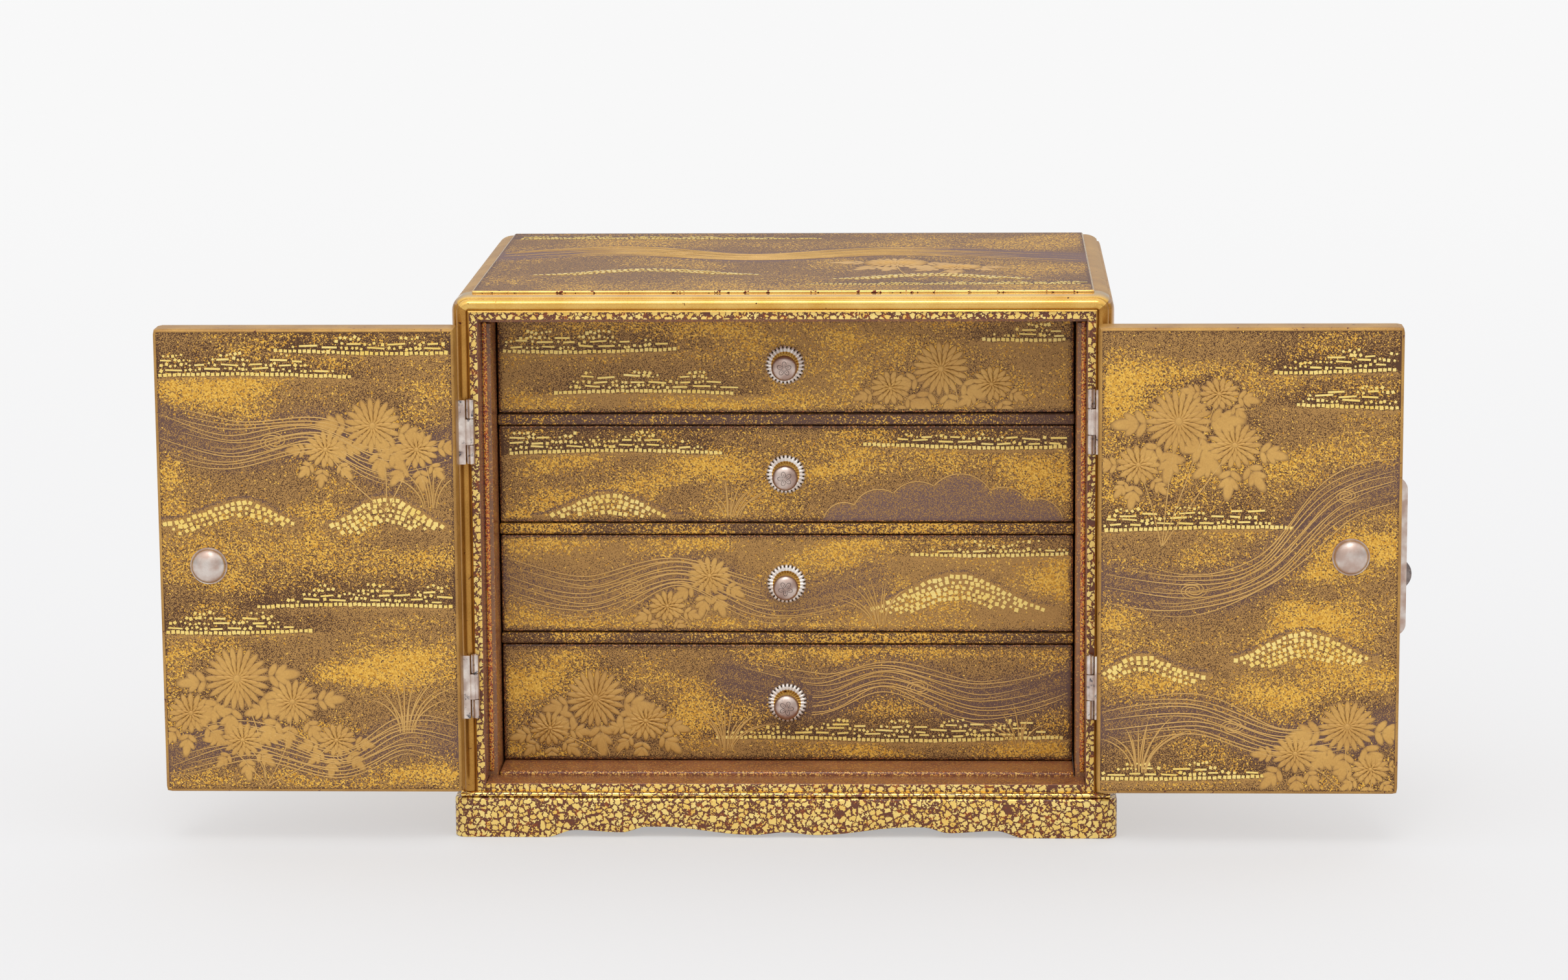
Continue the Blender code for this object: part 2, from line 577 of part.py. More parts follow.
def rosette():
    """Fluted flower washer about +Z: each petal has a ridge, and its tip rounds off the rim."""
    bm = bmesh.new()
    count = 2 * ROSETTE_PETALS
    bore = SHANK_HOLE
    crown = KNOB_COLLAR_RADIUS + ROSETTE_CROWN_WIDTH

    def ring(radius, height, swell, flute):
        made = []
        for k in range(count):
            angle = 2 * math.pi * k / count
            ridge = 1 if k % 2 == 0 else -1
            r = radius + swell * ridge
            made.append(bm.verts.new((r * math.cos(angle), r * math.sin(angle), height + flute * ridge)))
        return made

    tip = ROSETTE_FLUTE
    rings = [
        ring(bore, GAP, 0, 0),
        ring(ROSETTE_RADIUS - tip, GAP, tip, 0),
        ring(ROSETTE_RADIUS - tip, GAP + ROSETTE_RIM, tip, ROSETTE_FLUTE / 2),
        ring(crown, GAP + ROSETTE_CROWN - ROSETTE_FLUTE / 2, 0, ROSETTE_FLUTE / 2),
        ring(bore, GAP + ROSETTE_CROWN, 0, 0),
    ]
    for low, high in zip(rings, rings[1:] + rings[:1]):
        for k in range(count):
            n = (k + 1) % count
            bm.faces.new((low[k], low[n], high[n], high[k]))
    return bm


def build_drawer(number, top, height, lacquer, inside, silver):
    """Boarded drawer with a flower washer and a knob, whose shank is clinched inside the front."""
    name = f"drawer_{number}"
    base = top - height
    middle = top - height / 2
    wall_top = top - DRAWER_WALL_DROP
    front_back = DRAWER_SETBACK + DRAWER_FRONT
    behind = front_back + GAP
    start = (0.0, DRAWER_SETBACK, middle)
    bm = block((-DRAWER_HALF, DRAWER_HALF), (DRAWER_SETBACK, front_back), (base, top))
    front = finish(f"{name}_front", ease(bm, DRAWER_EDGE_EASE, 2), lacquer, start)
    hole = rod(SHANK_HOLE, -DRAWER_FRONT - CUT_PAST, CUT_PAST, 20)
    hole = facing_front(hole, 0, DRAWER_SETBACK, middle)
    combine(front, finish(f"{name}_shank_cutter", hole, None), "DIFFERENCE")
    for word, side in (("left", -1), ("right", 1)):
        across = (side * (DRAWER_HALF - DRAWER_WALL), side * DRAWER_HALF)
        bm = block(across, (behind, DRAWER_BACK), (base, wall_top))
        finish(f"{name}_wall_{word}", bm, inside, start)
    reach = DRAWER_HALF - DRAWER_WALL - GAP
    rear = DRAWER_BACK - DRAWER_WALL
    bm = block((-reach, reach), (rear, DRAWER_BACK), (base, wall_top))
    finish(f"{name}_wall_back", bm, inside, start)
    bm = block((-reach, reach), (behind, rear - GAP), (base, base + DRAWER_FLOOR))
    finish(f"{name}_floor", bm, inside, start)
    flower = facing_front(rosette(), 0, DRAWER_SETBACK, middle)
    finish(f"rosette_{number}", flower, silver, start)
    collar = ROSETTE_CROWN + 2 * GAP
    head = KNOB_RISE - KNOB_HEAD
    profile = arc((0, head + KNOB_HEAD * 0.4), (KNOB_RADIUS, KNOB_HEAD * 0.6), 90, 0, 5)
    profile[0] = (0, KNOB_RISE)
    profile += [(KNOB_RADIUS * 0.75, head), (KNOB_NECK_RADIUS, head - KNOB_UNDERCUT)]
    collar_top = collar + KNOB_COLLAR_HEIGHT
    profile += [(KNOB_NECK_RADIUS, collar_top + KNOB_COLLAR_SLOPE), (KNOB_COLLAR_RADIUS, collar_top)]
    profile += [(KNOB_COLLAR_RADIUS, collar), (KNOB_SHANK_RADIUS, collar)]
    clinch = -DRAWER_FRONT - GAP
    profile += [(KNOB_SHANK_RADIUS, clinch), (RIVET_RADIUS, clinch)]
    profile += [(RIVET_RADIUS * 0.7, clinch - RIVET_HEIGHT), (0, clinch - RIVET_HEIGHT)]
    finish(f"knob_{number}", facing_front(turned(profile, 24), 0, DRAWER_SETBACK, middle), silver, start)


def main():
    """Builds the cabinet in an emptied scene."""
    for old in list(bpy.data.objects):
        bpy.data.objects.remove(old, do_unlink=True)
    gold = ((0.60, 0.43, 0.18), 0.32, 0.35)
    speckled = ((0.42, 0.28, 0.17), 0.35, 0.2)
    panel = ((0.50, 0.37, 0.19), 0.4, 0.25)
    inside = ((0.30, 0.17, 0.10), 0.5, 0.0)
    silver = ((0.74, 0.69, 0.66), 0.3, 1.0)
    stiles = build_front_frame(gold)
    build_carcass(panel, inside)
    build_plinth(speckled)
    for door in (LEFT, RIGHT):
        build_door(door, panel, silver)
        for level in door.hinge_middles:
            build_hinge(door, level, stiles[door.word], silver)
    build_lock(silver)
    top = CEILING_Z - RUN_GAP
    for number, height in enumerate(DRAWER_HEIGHTS, 1):
        build_drawer(number, top, height, panel, inside, silver)
        top -= height + 2 * RUN_GAP + DIVIDER


main()
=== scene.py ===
"""Looks of the small lacquer cabinet: sprinkled gold grounds, cut gold, gold flakes and silver fittings.

Meshes are worked out in millimetres in the frame's own axes, with the front facing -Y, and turned to
metres when a piece is made.
"""

import logging
import math
import random
from dataclasses import dataclass, field
from enum import Enum
from functools import partial
from typing import Callable, Optional, Sequence, Union

import bmesh
import bpy
import numpy as np
from mathutils import Matrix, Vector


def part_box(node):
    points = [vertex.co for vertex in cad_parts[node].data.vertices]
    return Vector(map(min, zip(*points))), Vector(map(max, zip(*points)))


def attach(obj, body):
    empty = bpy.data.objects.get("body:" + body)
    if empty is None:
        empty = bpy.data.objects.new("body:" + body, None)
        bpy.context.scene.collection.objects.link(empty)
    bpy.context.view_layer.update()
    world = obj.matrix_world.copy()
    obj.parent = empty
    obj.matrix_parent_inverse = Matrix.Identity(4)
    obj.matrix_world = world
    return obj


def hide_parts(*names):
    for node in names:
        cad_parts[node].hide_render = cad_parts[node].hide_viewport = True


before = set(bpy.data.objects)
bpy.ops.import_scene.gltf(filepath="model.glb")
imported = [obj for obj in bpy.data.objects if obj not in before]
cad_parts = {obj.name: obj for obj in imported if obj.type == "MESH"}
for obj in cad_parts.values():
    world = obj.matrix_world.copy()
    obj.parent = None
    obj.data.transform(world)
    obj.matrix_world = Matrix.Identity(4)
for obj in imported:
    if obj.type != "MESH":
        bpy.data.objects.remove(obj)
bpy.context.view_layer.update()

LOG = logging.getLogger("cabinet")
MM = 0.001
WELD = 1e-4  # vertices nearer than this, in millimetres, become one
GROUND = "ground"  # vertex colour of a painted face: amber flakes, fine dust, bare lacquer
CREASE_SHADE = "crease"  # vertex value of raised gold that places its painted shade: 0 on a petal's crest, 1 at its rim
Array = np.ndarray
BMesh = bmesh.types.BMesh
Node = bpy.types.Node
Socket = bpy.types.NodeSocket
Adder = Callable[..., Node]
Painter = Callable[[Array], Array]
Point = tuple[float, float]
Triple = tuple[float, float, float]
Stroke = list[Triple]  # along a face, up it, half width


def linear(code: str) -> tuple[float, ...]:
    """Turns an sRGB hex colour to linear red, green and blue, with an alpha of one."""
    parts = [int(code[k : k + 2], 16) / 255 for k in (1, 3, 5)]
    return (*(c / 12.92 if c <= 0.04045 else ((c + 0.055) / 1.055) ** 2.4 for c in parts), 1.0)


def output(node: Node) -> Socket:
    """First output of a node that is in use."""
    return next(socket for socket in node.outputs if socket.enabled)


def add(tree: bpy.types.NodeTree, kind: str, inputs: Union[dict, Sequence] = (), **settings) -> Node:
    """Adds a shader node with its settings, its values and its links.

    Args:
        tree: node tree of a material or the world.
        kind: the node's type name, after ShaderNode.
        inputs: what the sockets get, by name or number or in order: a value, a hex colour, an output
            socket, or a node for its first output in use.
        settings: the node's own properties.

    Returns:
        The new node.
    """
    node = tree.nodes.new(f"ShaderNode{kind}")
    for key, value in settings.items():
        setattr(node, key, value)
    for key, value in inputs.items() if isinstance(inputs, dict) else enumerate(inputs):
        value = output(value) if isinstance(value, Node) else value
        if isinstance(value, Socket):
            tree.links.new(value, node.inputs[key])
        else:
            node.inputs[key].default_value = linear(value) if isinstance(value, str) else value
    return node


def per(size: float) -> float:
    """Scale of a pattern whose cells are so many millimetres across."""
    return 1 / (size * MM)


class Slot(Enum):
    """Material slots of the record."""

    GOLD = "gold_lacquer"
    SPECKLED = "speckled_lacquer"
    PANEL = "panel_lacquer"
    INSIDE = "inside_lacquer"
    SILVER = "silver"


@dataclass(frozen=True)
class Finish:
    """A finish that makes its material once."""

    name: str
    roughness: float = 0.4
    metallic: float = 0.0
    specular: float = 0.5

    def material(self) -> bpy.types.Material:
        """Returns the finish's material, made the first time."""
        made = bpy.data.materials.get(self.name)
        if made is None:
            made = bpy.data.materials.new(self.name)
            made.use_nodes = True
            tree = made.node_tree
            shader = tree.nodes["Principled BSDF"]
            shader.inputs["Roughness"].default_value = self.roughness
            shader.inputs["Metallic"].default_value = self.metallic
            if self.metallic < 1.0:
                shader.inputs["Specular IOR Level"].default_value = self.specular
            place = add(tree, "TexCoord").outputs["Object"]
            for key, node in self.dress(partial(add, tree), place).items():
                tree.links.new(output(node), shader.inputs[key])
        return made

    def dress(self, node: Adder, place: Socket) -> dict[str, Node]:
        """Adds the finish's own nodes.

        Args:
            node: the add function, with the material's tree given.
            place: Object coordinates.

        Returns:
            What goes into each of the shader's sockets.
        """
        raise NotImplementedError


@dataclass(frozen=True)
class SprinkledLacquer(Finish):
    """Brown lacquer sprinkled with gold dust and, in drifting patches, with coarser amber flakes.

    The eye sees a dull gold field with a soft dark grain, warmer and brighter where the flakes lie. Dust
    is drawn at 0.17 mm and flakes at 0.33 mm, a little coarser than real ones, so that they show.
    """

    dust_size: float = 0.17
    flake_size: float = 0.33
    patch_size: float = 32.0

    def dress(self, node: Adder, place: Socket) -> dict[str, Node]:
        """Adds grain, flakes and bare lacquer by the painted weights."""
        amber, dust, bare = node("SeparateColor", [node("Attribute", attribute_name=GROUND)]).outputs[:3]
        drift = node("Mapping", {"Vector": place, "Scale": (0.85, 1.0, 2.3)})
        patch = node("TexNoise", {"Vector": drift, "Scale": per(self.patch_size), "Detail": 2.0})
        patch = node("MapRange", (patch, 0.4, 0.68, 0.02, 0.86), interpolation_type="SMOOTHSTEP")
        share = node("Math", (amber, patch), operation="MULTIPLY")
        coarse = node("TexVoronoi", {"Vector": place, "Scale": per(self.flake_size)})
        chance = node("SeparateColor", [coarse.outputs["Color"]]).outputs
        flake = node("Math", (chance[0], share), operation="LESS_THAN")
        fine = node("TexVoronoi", {"Vector": place, "Scale": per(self.dust_size)})
        luck = node("SeparateColor", [fine.outputs["Color"]]).outputs
        grain = node("Math", (luck[0], dust), operation="LESS_THAN")
        lacquer = node("Mix", {0: bare, 6: "#583b27", 7: "#745954"}, data_type="RGBA")
        dusted = node("Mix", {0: luck[1], 6: "#9b7441", 7: "#bd9052"}, data_type="RGBA")
        sprinkled = node("Mix", {0: grain, 6: lacquer, 7: dusted}, data_type="RGBA")
        flakes = node("Mix", {0: chance[2], 6: "#c4892a", 7: "#f2c258"}, data_type="RGBA")
        colour = node("Mix", {0: flake, 6: sprinkled, 7: flakes}, data_type="RGBA")
        bump = node("Bump", {"Strength": 0.12, "Distance": 0.05 * MM, "Height": flake})
        return {"Base Color": colour, "Normal": bump}


@dataclass(frozen=True)
class FlakedLacquer(Finish):
    """Purple-brown lacquer set with torn flakes of gold leaf under clear lacquer.

    The eye sees close-set pale gold patches of about a millimetre, parted by thin dark veins, with
    orange fringes where the clear lacquer has thinned.
    """

    flake_size: float = 1.65
    rag_size: float = 0.7
    tear: float = 1.65  # how far a flake's edge strays, in millimetres
    thin_size: float = 1.3
    vein: float = 0.097
    leaf_metal: float = 0.3

    def dress(self, node: Adder, place: Socket) -> dict[str, Node]:
        """Adds torn cells with veins and fringes."""
        ragged = node("TexNoise", {"Vector": place, "Scale": per(self.rag_size), "Detail": 2.0})
        offset = node("VectorMath", (ragged.outputs["Color"], (0.5, 0.5, 0.5)), operation="SUBTRACT")
        torn = node("VectorMath", (offset, (self.tear * MM,) * 3, place), operation="MULTIPLY_ADD")
        cells = {"Vector": torn, "Scale": per(self.flake_size)}
        edge = node("TexVoronoi", cells, feature="DISTANCE_TO_EDGE")
        tone = node("SeparateColor", [node("TexVoronoi", cells).outputs["Color"]]).outputs
        kept = node("Math", (tone[0], 0.02), operation="GREATER_THAN")
        leaf = node("MapRange", (edge, self.vein, self.vein + 0.04))
        leaf = node("Math", (leaf, kept), operation="MULTIPLY")
        thin = node("TexNoise", {"Vector": place, "Scale": per(self.thin_size), "Detail": 1.0})
        thin = node("MapRange", (thin, 0.58, 0.68))
        fringe = node("MapRange", (edge, self.vein, self.vein + 0.13, 1.0, 0.0))
        fringe = node("Math", (fringe, thin), operation="MULTIPLY")
        gold = node("Mix", {0: tone[1], 6: "#f4c75e", 7: "#ffe38c"}, data_type="RGBA")
        gold = node("Mix", {0: fringe, 6: gold, 7: "#c96b22"}, data_type="RGBA")
        dark = node("Mix", {0: thin, 6: "#6a3b28", 7: "#86431f"}, data_type="RGBA")
        colour = node("Mix", {0: leaf, 6: dark, 7: gold}, data_type="RGBA")
        metal = node("Math", (leaf, self.leaf_metal), operation="MULTIPLY")
        bump = node("Bump", {"Strength": 0.2, "Distance": 0.05 * MM, "Height": leaf})
        return {"Base Color": colour, "Metallic": metal, "Normal": bump}


@dataclass(frozen=True)
class PowderGold(Finish):
    """Gold powder burnished into lacquer: a satin gold skin, worn to red-brown in small spots."""

    low: str = "#a8742a"
    high: str = "#d3a44c"
    wear: float = 0.70
    crease: float = 0.0  # how dark the painted shade at the rims of raised gold is
    cloud_size: float = 9.0
    grain_size: float = 0.35
    spot_size: float = 1.6

    def dress(self, node: Adder, place: Socket) -> dict[str, Node]:
        """Adds slow tone changes, a fine grain and wear."""
        slow = node("TexNoise", {"Vector": place, "Scale": per(self.cloud_size), "Detail": 3.0})
        fine = node("TexNoise", {"Vector": place, "Scale": per(self.grain_size), "Detail": 1.0})
        tone = node("MapRange", (node("Mix", {0: 0.35, 2: slow, 3: fine}), 0.32, 0.68))
        gold = node("Mix", {0: tone, 6: self.low, 7: self.high}, data_type="RGBA")
        spots = {"Vector": place, "Scale": per(self.spot_size), "Detail": 3.0, "Roughness": 0.65}
        worn = node("MapRange", (node("TexNoise", spots), self.wear, self.wear + 0.03))
        colour = node("Mix", {0: worn, 6: gold, 7: "#5c2a1f"}, data_type="RGBA")
        # painted shade: darkens the rims of raised gold, where petals meet each other and the ground
        if self.crease:
            rim = node("Attribute", attribute_name=CREASE_SHADE).outputs["Fac"]
            line = node("MapRange", (rim, 0.2, 0.9, 0.0, self.crease))
            colour = node("Mix", {0: line, 6: colour, 7: "#6b4726"}, data_type="RGBA")
        bump = node("Bump", {"Strength": 0.08, "Distance": 0.04 * MM, "Height": fine})
        return {"Base Color": colour, "Normal": bump}


@dataclass(frozen=True)
class WarmLacquer(Finish):
    """Red-brown lacquer with sparse gold and orange specks, as on the jambs, sill and drawer insides."""

    dark: str = "#653c26"
    warm: str = "#a96c42"
    speck_share: float = 0.3
    speck_low: str = "#a4562a"
    speck_high: str = "#c99650"
    cloud_size: float = 7.0
    speck_size: float = 0.3

    def dress(self, node: Adder, place: Socket) -> dict[str, Node]:
        """Adds cloudy brown and specks."""
        cloud = node("TexNoise", {"Vector": place, "Scale": per(self.cloud_size), "Detail": 4.0})
        ground = node("Mix", {0: cloud, 6: self.dark, 7: self.warm}, data_type="RGBA")
        cell = node("TexVoronoi", {"Vector": place, "Scale": per(self.speck_size)})
        luck = node("SeparateColor", [cell.outputs["Color"]]).outputs
        speck = node("Math", (luck[0], self.speck_share), operation="LESS_THAN")
        tone = node("Mix", {0: luck[1], 6: self.speck_low, 7: self.speck_high}, data_type="RGBA")
        return {"Base Color": node("Mix", {0: speck, 6: ground, 7: tone}, data_type="RGBA")}


@dataclass(frozen=True)
class TarnishedSilver(Finish):
    """Hand-worked silver, gone pinkish and in places blue-black, softly polished by fingers."""

    bright: str = "#ded2c9"
    patina: str = "#c6ada0"
    tarnish: str = "#6a6c74"
    tarnish_from: float = 0.66
    patina_size: float = 3.2
    spot_size: float = 1.7
    scratch_size: float = 0.25

    def dress(self, node: Adder, place: Socket) -> dict[str, Node]:
        """Adds patina, tarnish in patches of a few millimetres and fine scratches."""
        slow = node("TexNoise", {"Vector": place, "Scale": per(self.patina_size), "Detail": 4.0})
        pink = node("MapRange", (slow, 0.36, 0.62))
        skin = node("Mix", {0: pink, 6: self.bright, 7: self.patina}, data_type="RGBA")
        spots = {"Vector": place, "Scale": per(self.spot_size), "Detail": 5.0, "Roughness": 0.6}
        dark = node("MapRange", (node("TexNoise", spots), self.tarnish_from, self.tarnish_from + 0.12))
        colour = node("Mix", {0: dark, 6: skin, 7: self.tarnish}, data_type="RGBA")
        rough = node("MapRange", (slow, 0.3, 0.7, 0.24, 0.46))
        scratch = node("TexNoise", {"Vector": place, "Scale": per(self.scratch_size), "Detail": 2.0})
        bump = node("Bump", {"Strength": 0.1, "Distance": 0.03 * MM, "Height": scratch})
        return {"Base Color": colour, "Roughness": rough, "Normal": bump}


@dataclass(frozen=True)
class StudioPaper(Finish):
    """Seamless paper: pale grey, with painted light that makes it lighter with distance, and a shadow that
    stays light.

    Part of its tone is its own glow for what the camera and reflections see, so that the shadow is as faint
    as under many soft lamps.
    """

    glow: float = 0.5

    def dress(self, node: Adder, place: Socket) -> dict[str, Node]:
        """Adds the painted light falloff from front to back, and the glow."""
        depth = node("SeparateXYZ", [place]).outputs[1]
        depth = node("MapRange", (depth, -0.5, 1.6), interpolation_type="SMOOTHSTEP")
        # painted light falloff: darker at the front, lighter with distance
        colour = node("Mix", {0: depth, 6: "#e8e8e9", 7: "#ededed"}, data_type="RGBA")
        ray = node("LightPath").outputs
        seen = node("Math", (ray["Is Camera Ray"], ray["Is Glossy Ray"]), operation="ADD")
        seen = node("Math", (seen, ray["Is Transmission Ray"]), operation="ADD", use_clamp=True)
        glow = node("Math", (seen, self.glow), operation="MULTIPLY")
        kept = node("Mix", {0: glow, 6: colour, 7: "#000000"}, data_type="RGBA")
        return {"Base Color": kept, "Emission Color": colour, "Emission Strength": glow}


PANEL = SprinkledLacquer("sprinkled_gold_lacquer", roughness=0.36, metallic=0.15, specular=0.25)
TOP_PANEL = SprinkledLacquer("sprinkled_gold_lacquer_top", roughness=0.5, metallic=0.05, specular=0.15)
FLAKES = FlakedLacquer("gold_flake_lacquer", roughness=0.24, specular=0.4)
POLISHED_FLAKES = FlakedLacquer(
    "polished_gold_flake_lacquer", roughness=0.12, specular=0.6, vein=0.07, leaf_metal=0.95
)
HEAD_GOLD = PowderGold("burnished_powder_gold", roughness=0.14, metallic=0.85, low="#d9a64c", high="#f0c874")
RIM_GOLD = PowderGold(
    "burnished_powder_gold_rim", roughness=0.14, metallic=0.8, low="#c8954a", high="#eec878", wear=0.59
)
# The head's gold with painted shade: darker and browner, as the stiles lie in the doors' shade and reflect
# less light
SHADED_STILE_GOLD = PowderGold(
    "powder_gold_with_painted_shade", roughness=0.28, metallic=0.7, low="#a06e2a", high="#c99445", wear=0.68
)
EDGE = PowderGold(
    "worn_powder_gold_edge", roughness=0.4, metallic=0.3, low="#9d7034", high="#c4964c", wear=0.66
)
# Raised gold, with painted shade at the rims of its petals
RELIEF = PowderGold(
    "raised_powder_gold", roughness=0.42, metallic=0.2, low="#c09048", high="#d6a758", wear=0.9, crease=0.8
)
LINES = PowderGold("drawn_powder_gold", roughness=0.42, metallic=0.2, low="#c0944e", high="#dcb169", wear=0.9)
CUT_GOLD = PowderGold(
    "cut_gold_sheet", roughness=0.28, metallic=0.25, low="#f0ca60", high="#fbe28e", wear=0.95
)
GILT = PowderGold("gilt_silver", roughness=0.32, metallic=0.9, low="#c2913f", high="#e3bb66", wear=0.68)
JAMB = WarmLacquer("warm_speckled_lacquer", roughness=0.24, dark="#6a4030", warm="#b27852")
REBATE = WarmLacquer(
    "purple_brown_lacquer", roughness=0.26, dark="#62403a", warm="#a0705e", speck_share=0.08,
    speck_high="#a8743c",
)
LIP = WarmLacquer("dark_brown_lacquer", roughness=0.26, dark="#6a4430", warm="#a87850", speck_share=0.16)
SPECKED = WarmLacquer(
    "red_specked_lacquer", roughness=0.22, dark="#7a3330", warm="#a34a2c", speck_share=0.6,
    speck_low="#d8621e", speck_high="#f8c85c",
)
GLEAMING = WarmLacquer(
    "specked_lacquer_edge", roughness=0.18, dark="#6e3c26", warm="#92542f", speck_share=0.36,
    speck_low="#c8702c", speck_high="#f2c666",
)
# Dark lacquer of the drawer boxes; on the eased rims of the drawer fronts it is painted shade in the gaps
# round them
INSIDE = WarmLacquer("drawer_inside_lacquer_and_gap_shade", roughness=0.42, dark="#3a241b", warm="#5e3a22")
SILVER = TarnishedSilver("tarnished_silver", metallic=1.0)
# Silver of the petal tips, pale and half metallic: a painted sheen that stands for their bright reflections
PETAL_SILVER = TarnishedSilver(
    "silver_with_painted_sheen", metallic=0.6, bright="#fbf5ee", patina="#e8dcd2", tarnish="#8a8480", tarnish_from=0.7
)
HANDLED_SILVER = TarnishedSilver("handled_silver", metallic=1.0, bright="#d6c3b8", patina="#b4988c")
DARK_SILVER = TarnishedSilver(
    "dark_silver", metallic=1.0, bright="#eee2d8", patina="#c9b4a9", tarnish="#484c58", tarnish_from=0.56
)
AGED_SILVER = TarnishedSilver(
    "aged_silver", metallic=1.0, bright="#9a8d87", patina="#756a66", tarnish="#45464c", tarnish_from=0.54
)
ENGRAVED = TarnishedSilver(
    "blackened_engraving", metallic=1.0, bright="#7a716c", patina="#5d5653", tarnish="#3c3a3c",
    tarnish_from=0.5,
)
PAPER = StudioPaper("seamless_paper", roughness=0.9, specular=0.1)


def box_mm(node: str) -> tuple[Vector, Vector]:
    """Lowest and highest corners of a CAD node, in millimetres."""
    low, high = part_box(node)
    return low / MM, high / MM


def make_piece(
    name: str,
    bm: BMesh,
    body: str,
    finishes: Sequence[Finish],
    replaces: Sequence[str] = (),
    place: Optional[Matrix] = None,
    paint: Optional[Painter] = None,
    sharp_over: float = 40.0,
) -> None:
    """Turns a bmesh in millimetres into a finished piece on its body.

    Args:
        name: the piece's name.
        bm: its mesh, freed here.
        body: the CAD body that it rides on.
        finishes: one for each material index of its faces.
        replaces: CAD nodes that it stands for.
        place: from the mesh's own axes to the frame's, in millimetres.
        paint: gives the painted weights from the mesh's own coordinates.
        sharp_over: edges that turn by more degrees than this stay sharp.
    """
    mesh = bpy.data.meshes.new(name)
    bm.to_mesh(mesh)
    bm.free()
    if paint:
        co = np.empty(len(mesh.vertices) * 3, np.float32)
        mesh.vertices.foreach_get("co", co)
        weights = mesh.attributes.new(GROUND, "FLOAT_COLOR", "POINT")
        weights.data.foreach_set("color", paint(co.reshape(-1, 3)).astype(np.float32).ravel())
    mesh.transform(Matrix.Scale(MM, 4) @ (place or Matrix.Identity(4)))
    mesh.shade_smooth()
    mesh.set_sharp_from_angle(angle=math.radians(sharp_over))
    for finish in finishes:
        mesh.materials.append(finish.material())
    piece = bpy.data.objects.new(name, mesh)
    bpy.context.scene.collection.objects.link(piece)
    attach(piece, body)
    if replaces:
        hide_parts(*replaces)
    LOG.info("%s on %s: %d faces", name, body, len(mesh.polygons))


def plain_paint(amber: float, dust: float, bare: float) -> Painter:
    """Returns a painter that gives every point the same weights."""
    return lambda co: np.tile((amber, dust, bare, 1.0), (len(co), 1))


def template(name: str, operator: Callable, **settings) -> bpy.types.Mesh:
    """Returns a small shape to stamp, made the first time by a bmesh operator."""
    shape = bpy.data.meshes.get(name)
    if shape is None:
        shape = bpy.data.meshes.new(name)
        bm = bmesh.new()
        operator(bm, **settings)
        bm.to_mesh(shape)
        bm.free()
    return shape


def stamp(bm: BMesh, shape: bpy.types.Mesh, place: Matrix) -> None:
    """Adds a copy of a small shape to a mesh."""
    copy = shape.copy()
    copy.transform(place)
    bm.from_mesh(copy)
    bpy.data.meshes.remove(copy)


def arc(centre: Point, radii: Point, start: float, end: float, steps: int) -> list[Point]:
    """Points of an elliptical arc, in degrees."""
    turns = [math.radians(start + (end - start) * k / steps) for k in range(steps + 1)]
    return [(centre[0] + radii[0] * math.cos(a), centre[1] + radii[1] * math.sin(a)) for a in turns]


def pairs(loop: list) -> zip:
    """Neighbours round a closed loop."""
    return zip(loop, loop[1:] + loop[:1])


def close_loop(bm: BMesh, loop: list) -> None:
    """Fills a closed loop of vertices with one face."""
    bmesh.ops.contextual_create(bm, geom=[bm.edges.get(pair) for pair in pairs(loop)])


def first_loop(bm: BMesh, places: Sequence, fill: bool = True) -> list:
    """Adds a closed loop of vertices and edges, and fills it unless it stays open."""
    loop = [bm.verts.new(place) for place in places]
    for pair in pairs(loop):
        bm.edges.new(pair)
    if fill:
        close_loop(bm, loop)
    return loop


def extrude_loop(bm: BMesh, loop: list, places: Sequence) -> list:
    """Extrudes a closed loop of edges and moves its new vertices.

    Args:
        bm: the mesh.
        loop: vertices in order.
        places: where each new vertex goes, in the same order.

    Returns:
        The new loop, in the same order.
    """
    made = bmesh.ops.extrude_edge_only(bm, edges=[bm.edges.get(pair) for pair in pairs(loop)])["geom"]
    new = {v for v in made if isinstance(v, bmesh.types.BMVert)}
    fresh = [next(e.other_vert(v) for e in v.link_edges if e.other_vert(v) in new) for v in loop]
    for vert, spot in zip(fresh, places):
        vert.co = spot
    return fresh


def weld(bm: BMesh) -> None:
    """Merges vertices that meet and turns every face outwards."""
    bmesh.ops.remove_doubles(bm, verts=bm.verts, dist=WELD)
    bmesh.ops.recalc_face_normals(bm, faces=bm.faces)


def ease_edges(bm: BMesh, edges: Sequence, offset: float, segments: int) -> None:
    """Rounds edges off."""
    bmesh.ops.bevel(
        bm, geom=edges, offset=offset, segments=segments, profile=0.5, affect="EDGES", material=-1
    )


def add_box(bm: BMesh, low: Vector, high: Vector) -> list:
    """Adds a plain box and returns its vertices."""
    axes = Matrix.Translation((low + high) / 2) @ Matrix.Diagonal((*(high - low), 1.0))
    return bmesh.ops.create_cube(bm, size=1.0, matrix=axes)["verts"]


def rounded_box(bm: BMesh, start: Sequence, end: Sequence, radius: float, segments: int = 3) -> list:
    """Adds a box between two opposite corners, with eased edges, and returns its faces."""
    before = set(bm.faces)
    low, high = (Vector([pick(pair) for pair in zip(start, end)]) for pick in (min, max))
    verts = add_box(bm, low, high)
    ease_edges(bm, list({e for v in verts for e in v.link_edges}), radius, segments)
    return [f for f in bm.faces if f not in before]


def turned(profile: Sequence[Point], steps: int) -> BMesh:
    """Spins (radius, height) points that start and end on the axis about +Z."""
    bm = bmesh.new()
    verts = [bm.verts.new((r, 0.0, h)) for r, h in profile]
    edges = [bm.edges.new(pair) for pair in zip(verts, verts[1:])]
    full = {"cent": (0, 0, 0), "axis": (0, 0, 1), "angle": 2 * math.pi, "use_merge": True}
    bmesh.ops.spin(bm, geom=verts + edges, steps=steps, **full)
    weld(bm)
    return bm


